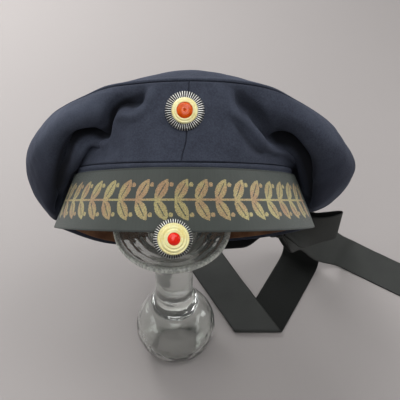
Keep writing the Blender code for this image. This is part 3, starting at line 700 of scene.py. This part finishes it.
def ribbed_metal():
    """Silvered metal, bright only along its ribs: the grooves between them have gone black."""
    metal = Finish("blackened_silver", {"Roughness": 0.3})
    turn, _ = metal.cloth()
    crest = (turn * (2 * math.pi * RIBS / UV_MM)).cosine()
    dirt = metal.noise(metal.place(), 0.004, 3.0)
    bright = (crest + 0.9 * (dirt - 0.5)).between(0.42, 1.0)
    metal.set({"Base Color": metal.mixed(bright, (0.006, 0.006, 0.008), (0.86, 0.85, 0.80)),
               "Metallic": bright})
    return metal.material


def gloss_enamel(name, dark, light, roughness):
    """Gloss paint on metal with slightly uneven colour."""
    paint = Finish(name, {"Roughness": roughness, "Specular IOR Level": 0.35, "Coat Weight": 0.25,
                          "Coat Roughness": 0.08})
    at = paint.place()
    worn, fine = paint.noise(at, 0.006, 2.0), paint.noise(at, 0.0008, 3.0)
    share = (0.7 * worn + 0.5 * fine).between(0.45, 0.75)
    paint.set({"Base Color": paint.mixed(share, dark, light),
               "Normal": paint.relief(fine, 0.00004)})
    return paint.material


def plain_floor():
    """Pale table, a little uneven in colour."""
    floor = Finish("pale_floor", {"Roughness": 0.62, "Specular IOR Level": 0.3})
    worn = floor.noise(floor.place(), 0.25, 2.0)
    floor.set({"Base Color": floor.mixed(worn, (0.385, 0.357, 0.348), (0.407, 0.379, 0.370))})
    return floor.material


# --- head band, leather and ribbon ---

def band_droop(angle):
    """How far the band hangs at an angle: nothing in front, behind by a power of the cosine, and
    a bell more at the back on the left."""
    sag = LEFT_SAG * bump(np.degrees(angle), *LEFT_SAG_AT)
    return BAND_BACK_DROOP * clamped(-np.cos(angle)) ** DROOP_SHARPNESS + sag


def band_point(angle, height, outward=0.0):
    """Point of the band's middle surface at a height over its lower edge, moved outward: on an oval
    whose two half axes change evenly with the height."""
    share = height / BAND_HEIGHT
    half_width, half_length = (low + share * (high - low) + outward
                               for low, high in (BAND_HALF_WIDTH, BAND_HALF_LENGTH))
    y = share * BAND_SHIFT_BACK - half_length * np.cos(angle)
    return np.stack(np.broadcast_arrays(half_width * np.sin(angle), y, height - band_droop(angle)),
                    axis=-1)


def add_band_ring(name, span, outward, wall, material, steps, rows, front=(0.0, 0.0),
                  threads=False):
    """Ring of cloth on the band. outward is a number, or a function of angle and height. In front,
    its two edges are drawn by the two numbers of front, times the squared cosine of the angle.
    Where its material shows threads, its UV is how far along and up each place is."""
    angle = (np.arange(steps) + 0.5) * 2 * math.pi / steps - math.pi
    low, high = span
    height = low + (high - low) * spaced(high - low, rows, wall)
    angle, height = np.meshgrid(angle, height, indexing="ij")
    share = (height - low) / (high - low)
    drawn = front[0] * (1 - share) + front[1] * share
    height = height + drawn * clamped(np.cos(angle)) ** 2
    moved = outward(angle, height) if callable(outward) else outward
    points = band_point(angle, height, moved)
    middle = points[:, points.shape[1] // 2]
    along = running_length(np.concatenate((middle, middle[:1])))
    along = along - along[-1] / 2
    rows_up = np.concatenate((share, share[:1])) * (high - low)
    uv = np.stack([np.broadcast_to(along[:, None], rows_up.shape), rows_up], axis=-1)
    return add_cloth(name, cap_to_world(points), wall, material, uv if threads else None,
                     round_rows=True)


def band_swell(angle, height):
    """The band's cloth: a rolled welt along its top, sewn down just under it, both bells."""
    return sum(rise * bump(height, middle, half_width) for rise, middle, half_width in (WELT, SEWN))


def ribbon_lie(angle, height):
    """How the ribbon lies on the band: close, but for two slack waves round it."""
    slack = 0.16 * np.sin(5 * angle + 1.0) * np.sin(height / 13.0)
    slack = slack + 0.10 * np.sin(17 * angle + height / 9.0)
    return BAND_WALL / 2 + RING_GAP + RIBBON_WALL / 2 + 0.1 + slack


# --- crown ---

def ray_point(angle, radius, height):
    """Point at a distance from the crown's centre, in the direction of an angle."""
    x = CROWN_CENTRE[0] + radius * np.sin(angle)
    y = CROWN_CENTRE[1] - radius * np.cos(angle)
    return np.stack([x, y, height + 0.0 * x], axis=-1)


def side_controls(degrees):
    """The five points that each section of the crown's side passes through."""
    table = np.array(SIDE_SECTIONS, float)
    row = curve_through(table[:, 0], table[:, 1:], degrees, period=360.0)
    angle = np.radians(degrees)
    controls = [ray_point(angle, row[:, i], row[:, i + 1]) for i in (0, 2, 4, 6)]
    start = band_point(angle, np.full(len(angle), BAND_HEIGHT))
    lean = unit(controls[0] - start)
    start[:, 2] += 0.4 + 0.3 * np.linalg.norm(lean[:, :2], axis=1)
    return np.stack([start, *controls], axis=1)


def fold_height(degrees, shares, heights):
    """All folds added up at places on the side, from their angles, shares and heights up the cloth:
    each is a row of round bells along its line, so close that they join."""
    across, up = (degrees * SIDE_MM_PER_DEGREE)[:, None], shares * heights[:, None]
    total = np.zeros_like(up)
    for _, height, half_width, line in FOLDS:
        line = np.array(line, float)
        if not degrees[0] <= line[0, 0] <= degrees[-1]:
            continue
        local = np.interp(line[:, 0], degrees, heights)
        line = np.stack([line[:, 0] * SIDE_MM_PER_DEGREE, line[:, 1] * local], axis=1)
        run = running_length(line)
        places = curve_through(run, line, np.linspace(0.0, run[-1], FOLD_BUMPS))
        part = height * run[-1] / (FOLD_BUMPS - 1) / (math.sqrt(math.pi) * half_width)
        for x, y in places:
            total += part * np.exp(-((across - x) ** 2 + (up - y) ** 2) / half_width ** 2)
    return total


def fold_lift(degrees, shares):
    """How far the folds lift each place on the side, fading out at its two edges."""
    heights = [running_length(controls)[-1] for controls in side_controls(degrees)]
    return fold_height(degrees, shares, np.array(heights)) * off_rim(shares, 0.06)


def off_rim(shares, reach):
    """0 at both edges of a cloth, rising evenly to 1 at reach from them."""
    return clamped(np.minimum(shares, 1 - shares) / reach)


def crown_side(degrees, shares, folded=True):
    """Grid over the crown's side: one smooth section for each angle, from the band to the seam.
    Folds and waves move it along its normals, and a slide across, a bell of the angle, keeps the
    front seam straight."""
    sections = []
    for controls in side_controls(degrees):
        knots = running_length(controls)
        sections.append(curve_through(knots, controls, shares * knots[-1]))
    points = np.array(sections)
    if not folded:
        return points
    lift = fold_lift(degrees, shares) + uneven(points, SIDE_WAVES) * off_rim(shares, 0.12)
    points = points + grid_normals(points) * lift[..., None]
    slide = FRONT_SEAM_SLIDE * bump(degrees, 0.0, 14.0)[:, None]
    points[..., 0] -= slide * np.sin(math.pi * shares ** 0.55) ** 1.2
    return points


def add_crown_side(name, start, end, material):
    """Side of the crown. Its UV isn't a place but two things that the wool's painted light and
    shade follow: the folds' height, hollows no deeper than the depths listed by angle allow, and
    how low a place hangs."""
    gap = math.degrees(HALF_SEAM_GAP / FRONT_RADIUS)
    length = math.radians(end - start) * SIDE_RADIUS
    degrees = start + gap + (end - start - 2 * gap) * spaced(length, 272, CLOTH * 0.8)
    shares = spaced(SIDE_HEIGHT, 76, CLOTH)
    points = cap_to_world(crown_side(degrees, shares))
    # Painted shade on the crown's low sides: full below the lower height, gone above the upper one.
    painted_low_shade = 1.0 - clamped((points[..., 2] - PAINTED_SHADE_HEIGHTS[0]) / (PAINTED_SHADE_HEIGHTS[1] - PAINTED_SHADE_HEIGHTS[0]))
    # How deep a fold's hollow may still darken the wool with painted shade, by angle.
    deepest = np.interp(degrees, PAINTED_SHADE_ANGLES, PAINTED_SHADE_DEPTHS)[:, None]
    lift = np.maximum(fold_lift(degrees, shares), -deepest)
    return add_cloth(name, points, CLOTH, material, np.stack([lift, painted_low_shade], axis=-1))


def crown_top(degrees, shares):
    """Grid over the crown's top, from the seam in to its centre: height read along each ray, with
    waves added that fade out at the seam."""
    table = np.array(TOP_SECTIONS, float)
    heights = curve_through(table[:, 0], table[:, 1:], degrees, period=360.0)
    side = crown_side(degrees, np.linspace(0.0, 1.0, 11), folded=False)
    seam, climb = side[:, -1], unit(side[:, -1] - side[:, -2])
    last_ring = TOP_FRACTIONS[2] * 104.0
    inward = unit(ray_point(np.radians(degrees), last_ring, heights[:, 2]) - seam)
    turn = np.linalg.norm(np.cross(climb, inward), axis=1, keepdims=True)
    edge = seam + climb * (0.25 + CLOTH / 2 * turn)
    centre = np.array([*CROWN_CENTRE, TOP_CENTRE_HEIGHT])
    rays = []
    for i in range(len(degrees)):
        levels = np.array([TOP_CENTRE_HEIGHT, *heights[i], edge[i, 2]])[:, None]
        ray = centre + (edge[i] - centre) * shares[:, None]
        ray[:, 2] = curve_through((0.0, *TOP_FRACTIONS, 1.0), levels, shares)[:, 0]
        rays.append(ray)
    points = np.array(rays)
    points[..., 2] += uneven(points, TOP_WAVES) * clamped((1 - shares) / 0.12)
    return points


def add_crown_top(material):
    """The crown's top as closed cloth, its rays a degree apart."""
    degrees = np.arange(360) - 180.0
    shares = 1.0 - np.concatenate((spaced(SIDE_RADIUS, 54, CLOTH)[:-6], [1.0]))
    middle = cap_to_world(crown_top(degrees, shares))
    return add_cloth("crown_top_cloth", middle, CLOTH, material, round_rows=True, pole=True)


# --- cockades ---

def front_of_cap(x, height):
    """Outer face of the cap in front, at a place across and a height over the opening."""
    if height < BAND_HEIGHT:
        angle = np.array([math.asin(x / BAND_HALF_WIDTH[0])])
        out = BAND_WALL / 2 + RING_GAP + 1.0
        return band_point(angle, np.array([max(height, 0.0)]), out)[0, 1]
    degrees = math.degrees(math.asin((x - CROWN_CENTRE[0]) / FRONT_RADIUS))
    section = crown_side(np.array([degrees]), np.linspace(0.0, 1.0, 60), folded=False)[0]
    return section[np.argmin(abs(section[:, 2] - height)), 1] - CLOTH / 2


def seat_of(x, height, radius, yaw):
    """How a cockade's points move to its seat on the front of the cap."""
    right = np.array([math.cos(yaw), math.sin(yaw), 0.0])
    out = np.array([math.sin(yaw), -math.cos(yaw), 0.0])
    depths = []
    for turn in np.radians(np.arange(0.0, 360.0, 30.0)):
        across, up = radius * math.cos(turn), radius * math.sin(turn)
        depths.append(front_of_cap(x + across * math.cos(yaw), height + up)
                      - across * math.sin(yaw))
    seat = np.array([x, min(depths) - 0.3, height])

    def place(points):
        up = np.array([0.0, 0.0, 1.0])
        return cap_to_world(seat + points[:, :1] * right + points[:, 1:2] * up
                            + points[:, 2:] * out)
    return place


def add_ribbed_ring(name, outer, place, material):
    """Ring pressed in sharp ribs that run out to its rim, where each ends as a small tooth: between
    ribs, one less the cosine's size lowers its outline and draws its rim in."""
    steps = RIBS * 10
    angle = np.arange(steps) * 2 * math.pi / steps
    low = 1.0 - abs(np.cos(RIBS / 2 * angle))
    # radius, height, how much of the ribs shows there
    line = rounded(((2.0, 0.0, 0.0), (outer - 1.0, 0.0, 0.0), (outer - 0.3, 0.1, 1.0),
                    (outer, 0.35, 1.0), (outer - 0.1, 0.75, 1.0), (outer - 0.9, 1.15, 1.0),
                    (outer - 2.4, 1.35, 1.0), (6.0, 1.7, 1.0), (4.0, 1.8, 0.0), (2.0, 1.8, 0.0),
                    (2.0, 0.0, 0.0)), 2)
    groove = low[:, None] * line[:, 2]
    radius = line[:, 0] - 0.42 * groove * clamped((line[:, 0] - outer + 2.0) / 2.0)
    level = line[:, 1] - 0.5 * groove
    points = np.stack([radius * np.cos(angle)[:, None], radius * np.sin(angle)[:, None],
                       np.maximum(level, 0.0)], axis=-1)
    index = np.arange(steps * len(line)).reshape(steps, -1)
    index[:, -1] = index[:, 0]
    return add_shell(name, points, index, lambda row, column: round_uv(row, steps, line[column, 0]),
                     material, place)


def dome_line(radius, base, height, inner=0.0, count=14):
    """Half outline of a dome on a short upright edge, from its base up and in to a radius: part of
    an oval."""
    rise = height - 0.4
    turn = np.linspace(0.0, math.acos(min(inner / radius, 1.0)), count)
    arc = [(radius * math.cos(t), base + 0.4 + rise * math.sin(t)) for t in turn]
    return [(0.0, base), (radius - 0.3, base), (radius, base + 0.12), *arc]


def add_dome(name, radius, hole, base, height, place, material, rings):
    """Pale dome with a sunk seat in its middle, and rings pressed into it as bells."""
    line = np.array(dome_line(radius, base, height, hole, 70))
    for at, half_width, rise in rings:
        line[3:, 1] += rise * bump(line[3:, 0], at, half_width)
    top, seat = line[-1, 1], base + SEAT_SHARE * height
    line = np.concatenate((line, [(hole - 0.25, top - 0.15), (hole - 0.3, seat + 0.2),
                                  (hole - 0.5, seat), (0.0, seat)]))
    return add_turned(name, rounded(line, 1), 96, material, place)


def add_boss(name, radius, base, height, place, material, pit):
    """Glossy boss, round all over, with a small pit in its middle where given."""
    line = np.array([*dome_line(radius, base, height)[:-1], (0.35 * radius / 3, base + height),
                     (0.0, base + height)])
    line = rounded(line, 2)
    if pit:
        line[:, 1] -= 0.7 * bump(line[:, 0], 0.0, pit) * (line[:, 1] > base + 0.5 * height)
    return add_turned(name, line, 72, material, place)


# --- bow ---

def pinched(distance):
    """Width of a ribbon at a distance from the knot, easing to its full one."""
    return RIBBON_WIDTH * (PINCH + (1.0 - PINCH) * eased(clamped(distance / PINCH_LENGTH)))


def pleats(distance, share, depth):
    """Small pleats across a ribbon where the knot gathers it: a cosine that fades with distance."""
    fade = (1 - clamped(distance / (PINCH_LENGTH * 1.3))) ** 1.5
    return depth * fade * np.cos(2 * math.pi * 3.5 * share + 0.6)


def ribbon_rows(table, lengths):
    """Middle and direction across of a ribbon at lengths along the rows of its table."""
    table = np.array(table, float)
    row = curve_through(running_length(table[:, :3]), table, lengths)
    turn, rise = np.radians(row[:, 3]), np.radians(row[:, 4])
    level = np.cos(rise)
    return row[:, :3], np.stack([np.cos(turn) * level, np.sin(turn) * level, np.sin(rise)], axis=1)


def belly(share):
    """Opening of a loop along its length, as a share: narrow at the knot, round at its end."""
    return np.sqrt(np.clip(1.0 - (2.0 * share - 1.0) ** 4, 0.12, 1.0))


def loop_path(length, half_end, steps=90):
    """Shares along a loop and sides of it, out on one side, round its end and back on the other."""
    end = 1.0 - half_end / length
    out = np.linspace(0.0, end, steps)
    turn = np.linspace(-math.pi / 2, math.pi / 2, 13)[1:-1]
    shares = np.concatenate((out, end + half_end / length * np.cos(turn), out[::-1]))
    sides = np.concatenate((np.full(steps, -1.0), np.sin(turn), np.full(steps, 1.0)))
    return shares, sides


def loop_grid(middle, across, distance, outward):
    """Grid over a ribbon that follows a path: its middle, its direction across and its way out."""
    share = np.linspace(-0.5, 0.5, RIBBON_COLUMNS)[None, :, None]
    width = pinched(distance)[:, None, None]
    lift = pleats(distance[:, None], share[..., 0], 0.3)[..., None]
    return middle[:, None] + width * share * unit(across)[:, None] + lift * outward[:, None]


def add_ribbon(name, points, middle, material):
    """Ribbon piece over a grid, its UV how far along and across the ribbon each place is."""
    along = running_length(middle)
    share = np.linspace(0.0, 1.0, RIBBON_COLUMNS)[None, :]
    uv = np.stack(np.broadcast_arrays(along[:, None], RIBBON_WIDTH * share), axis=-1)
    piece = add_cloth(name, points, TAIL_WALL, material, uv, other_face=UNDERSIDE)
    return piece


def add_left_loop(material):
    """Loop that lies along the back of the band, its lower edge hanging below it."""
    start, end = np.radians(LEFT_LOOP_ANGLES)
    near, far = LEFT_LOOP_OFFSETS
    length = abs(end - start) * 95.0
    share, side = loop_path(length, (far - near) / 2 * belly(1.0))
    angle = start + (end - start) * share
    height = np.full(len(share), RIBBON_WIDTH / 2 - LEFT_LOOP_DROP)
    half = (far - near) / 2 * belly(share)
    middle = band_point(angle, height, near + half + side * half)
    outward = unit(band_point(angle, height, 1.0) - band_point(angle, height))
    across = band_point(angle, height + 10.0) - band_point(angle, height)
    points = loop_grid(middle, across, share * length, outward)
    return add_ribbon("bow_loop_left_silk", cap_to_world(points), middle,
                      material)


def add_right_loop(material):
    """Loop that stands out to the right of the knot."""
    length = running_length(np.array(RIGHT_LOOP)[:, :3])[-1]
    share, side = loop_path(length, LOOP_OPENING / 2 * belly(1.0))
    middle, across = ribbon_rows(RIGHT_LOOP, share * length)
    ahead, _ = ribbon_rows(RIGHT_LOOP, share * length + 0.5)
    behind, _ = ribbon_rows(RIGHT_LOOP, share * length - 0.5)
    outward = unit(np.cross(across, ahead - behind))
    middle = middle + outward * (side * LOOP_OPENING / 2 * belly(share))[:, None]
    points = loop_grid(middle, across, share * length, outward)
    return add_ribbon("bow_loop_right_silk", points + GLASS_AXIS_AT, middle,
                      material)


def add_knot(material):
    """Ribbon wrapped tight round the bow: a ball squared by powers of its sines and cosines,
    creased along its wrap by two waves."""
    turn = np.linspace(0.0, 2 * math.pi, 160, endpoint=False)
    rise = np.linspace(-math.pi / 2, math.pi / 2, 70)

    def bent(value, power):
        return np.sign(value) * abs(value) ** power
    ring, height = bent(np.cos(rise), 0.45), bent(np.sin(rise), 0.45)
    x, y = (bent(side, 0.5)[:, None] * ring for side in (np.cos(turn), np.sin(turn)))
    z = np.broadcast_to(height, x.shape)
    crease = 0.35 * np.sin(x * 5.2 + 0.7 * z) + 0.22 * np.sin(x * 11.0 - 1.3 * z + 1.0)
    shrink = 0.955 + 0.06 * (crease - 0.35) * clamped(1.3 - abs(z))
    size = np.array(KNOT_SIZE) / 2
    points = np.stack([x, y, z], axis=-1) * size * shrink[..., None]
    points[..., 2] *= 1.0 - 0.05 * np.cos(x * 3.0)
    angle = math.radians(KNOT_ANGLE)
    outward = BAND_WALL / 2 + 2 * RING_GAP + 1.0 + KNOT_SIZE[1] / 2
    at = band_point(np.array([angle]), np.array([KNOT_HEIGHT]), outward)[0]
    c, s = math.cos(angle - math.pi), math.sin(angle - math.pi)
    x, y, z = np.moveaxis(points, -1, 0)
    turned = np.stack([x * c - y * s, x * s + y * c, z], axis=-1)
    index = np.arange(turned[..., 0].size).reshape(turned.shape[:2])
    index[:, 0], index[:, -1] = index[0, 0], index[0, -1]
    return add_shell("bow_knot_silk", turned, index,
                     lambda row, column: np.stack([column * 0.6, row * 0.3], axis=-1),
                     material, lambda inner: cap_to_world(inner + at))


# --- tails ---

def tail_points(table, length, rows, slant=0.0, slant_at=0.0):
    """Grid over a tail. Near slant_at its cross lines are slanted, to lie along a fold there."""
    lengths = np.linspace(0.0, length, rows)[:, None]
    share = np.linspace(-0.5, 0.5, RIBBON_COLUMNS)[None, :]
    near = clamped(1.6 - abs(lengths - slant_at) / FOLD_REACH)
    place = lengths + eased(near) * slant * RIBBON_WIDTH * share
    middle, across = ribbon_rows(table, place.ravel())
    points = middle + (pinched(lengths) * share).reshape(-1, 1) * across
    points = points.reshape(rows, RIBBON_COLUMNS, 3)
    points += grid_normals(points) * pleats(lengths, share, 0.5)[..., None]
    points[..., 2] = np.maximum(points[..., 2], TABLE_CLEARANCE + 0.5)
    return points


def fold_over(points):
    """Turn what passes the fold line up round a half circle and back on top. From there the end
    sinks, and reaches the table where it leaves the ribbon under it."""
    x, y, z = points[..., 0], points[..., 1], points[..., 2]
    past = FOLD_LINE_Y - y
    turn = np.clip(past / FOLD_RADIUS, 0.0, math.pi)
    beyond = np.clip(past - math.pi * FOLD_RADIUS, 0.0, None)
    folded_y = FOLD_LINE_Y - FOLD_RADIUS * np.sin(turn) + beyond
    folded_z = z + FOLD_RADIUS * (1.0 - np.cos(turn))
    for start, over, depth in END_SINKS:
        folded_z = folded_z - depth * eased(clamped((beyond - start) / over))
    return np.where((past > 0.0)[..., None], np.stack([x, folded_y, folded_z], axis=-1), points)


def add_tail(name, points, length, material):
    """Tail whose rows lie evenly along its length."""
    along = np.linspace(0.0, length, len(points))
    line = np.stack([along, 0 * along, 0 * along], axis=1)
    return add_ribbon(name, points + GLASS_AXIS_AT, line, material)


def add_right_tail(material):
    """Tail that falls to the table and runs on along it."""
    length = running_length(np.array(RIGHT_TAIL)[:, :3])[-1]
    points = tail_points(RIGHT_TAIL, length, RIGHT_TAIL_ROWS)
    return add_tail("ribbon_tail_right_silk", points, length, material)


def add_left_tail(material):
    """Tail that falls to the table, runs along it and folds back on top of itself."""
    points = tail_points(LEFT_TAIL, LEFT_TAIL_LENGTH, LEFT_TAIL_ROWS, FOLD_SLANT, FOLD_AT)
    return add_tail("ribbon_tail_left_silk", fold_over(points), LEFT_TAIL_LENGTH, material)


# --- floor, lights and camera ---

def add_floor(material):
    mesh = bpy.data.meshes.new("floor")
    mesh.from_pydata([(-3, -2, 0), (3, -2, 0), (3, 4, 0), (-3, 4, 0)], [], [(0, 1, 2, 3)])
    mesh.materials.append(material)
    floor = add_object("floor", mesh)


def add_light(name, at, aim, size, watts):
    """Flat light of a size in metres, turned to a point."""
    light = bpy.data.lights.new(name, "AREA")
    light.shape = "RECTANGLE"
    light.size, light.size_y = size
    light.energy = watts
    lamp = add_object(name, light)
    lamp.location = at
    lamp.rotation_euler = (Vector(aim) - Vector(at)).to_track_quat("-Z", "Y").to_euler()


def add_sky(colour, strength):
    world = bpy.data.worlds.new("studio")
    world.use_nodes = True
    background = world.node_tree.nodes["Background"]
    background.inputs["Color"].default_value = (*colour, 1.0)
    background.inputs["Strength"].default_value = strength
    bpy.context.scene.world = world


def add_camera():
    bpy.context.scene.view_settings.view_transform = "Standard"
    camera = bpy.data.cameras.new("camera")
    camera.lens, camera.sensor_width = 72.0, 36.0
    camera.clip_end = 20.0
    holder = add_object("camera", camera)
    holder.location = [(a + b) * MM for a, b in zip(CAMERA_AT, GLASS_AXIS_AT)]
    holder.rotation_euler = (math.radians(CAMERA_PITCH), 0.0, 0.0)
    bpy.context.scene.camera = holder


# --- the whole ---

def dress(piece, node):
    """A piece stands for a node of the model and rides with the whole object."""
    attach(piece, "root")
    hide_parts(node)


def add_cap():
    wool, leather = wool_cloth(), brown_leather()
    gold_silk = ribbed_silk("ribbed_silk_gold", (0.047, 0.056, 0.050), (0.094, 0.105, 0.095),
                            gold=True)
    leather_out = -BAND_WALL / 2 - RING_GAP - LEATHER_WALL / 2
    for side, start in (("right", 0.0), ("left", -180.0)):
        cloth = add_crown_side(f"crown_side_{side}_cloth", start, start + 180.0, wool)
        dress(cloth, f"crown_side_{side}")
    dress(add_crown_top(wool), "crown_top")
    dress(add_band_ring("head_band_cloth", (0.0, BAND_HEIGHT), band_swell, BAND_WALL, wool,
                        steps=400, rows=58), "head_band")
    dress(add_band_ring("sweatband_leather", SWEATBAND_SPAN, leather_out, LEATHER_WALL, leather,
                        steps=360, rows=16), "sweatband")
    dress(add_band_ring("cap_ribbon_silk", RIBBON_SPAN, ribbon_lie, RIBBON_WALL, gold_silk,
                        steps=480, rows=24, front=RIBBON_FRONT, threads=True), "cap_ribbon")


def add_cockades():
    silver = ribbed_metal()
    cream = gloss_enamel("cream_enamel", (0.95, 0.82, 0.34), (1.0, 0.95, 0.54), 0.25)
    red = gloss_enamel("red_enamel", (0.92, 0.020, 0.010), (1.0, 0.034, 0.014), 0.18)
    orange = gloss_enamel("orange_enamel", (0.66, 0.062, 0.002), (0.80, 0.12, 0.006), 0.2)
    finishes = ((UPPER_RINGS, orange, 0.7), (LOWER_RINGS, red, 0.0))    # rings, boss, its pit
    for cockade, (rings, boss_paint, pit) in zip(COCKADES, finishes):
        name, x, height, ring_r, dome_r, boss_r, dome_height, yaw = cockade
        place = seat_of(x, height, ring_r, math.radians(yaw))
        boss_base = DOME_BASE + SEAT_SHARE * dome_height + 0.3
        ring = add_ribbed_ring(name + "_ring_metal", ring_r, place, silver)
        dome = add_dome(name + "_dome_enamel", dome_r, boss_r, DOME_BASE, dome_height, place, cream,
                        rings)
        boss = add_boss(name + "_boss_enamel", boss_r - 0.3, boss_base, 0.75 * dome_height, place,
                        boss_paint, pit)
        dress(ring, name + "_ring")
        dress(dome, name + "_dome")
        dress(boss, name + "_boss")


def add_bow():
    silk = ribbed_silk("ribbed_silk", (0.025, 0.027, 0.025), (0.052, 0.055, 0.051),
                       dull=(0.009, 0.010, 0.009))
    for add, node in ((add_left_loop, "bow_loop_left"), (add_right_loop, "bow_loop_right"),
                      (add_knot, "bow_knot"), (add_left_tail, "ribbon_tail_left"),
                      (add_right_tail, "ribbon_tail_right")):
        dress(add(silk), node)


def pressed_rings(line):
    """The glass's outline with rings pressed into its top plate: a raised cosine of the radius."""
    rim = np.argmax(line[:, 1] + (line[:, 0] > 41.0))
    radius = np.arange(0.0, 40.6, 0.55)
    wave = 0.5 - 0.5 * np.cos(2 * math.pi * radius / RING_PITCH)
    level = np.interp(radius, line[:rim, 0], line[:rim, 1])
    level = level - RING_DEPTH * wave * clamped(radius / 6.0)
    rest = line[:rim][line[:rim, 0] > radius[-1]]
    return np.concatenate((np.stack([radius, level], axis=1), rest, line[rim:]))


def add_glass():
    """The stand, turned from its outline with the corners cut off three times."""
    line = pressed_rings(rounded(GLASS_PROFILE, 3))
    glass = add_turned("glass_stand_clear", line[::-1], GLASS_STEPS, clear_glass(),
                       lambda points: points + GLASS_AXIS_AT)
    dress(glass, "glass_stand")


add_cap()
add_cockades()
add_bow()
add_glass()
add_floor(plain_floor())
for light in LIGHTS:
    add_light(*light)
add_sky((0.9, 0.93, 1.0), 0.04)
add_camera()
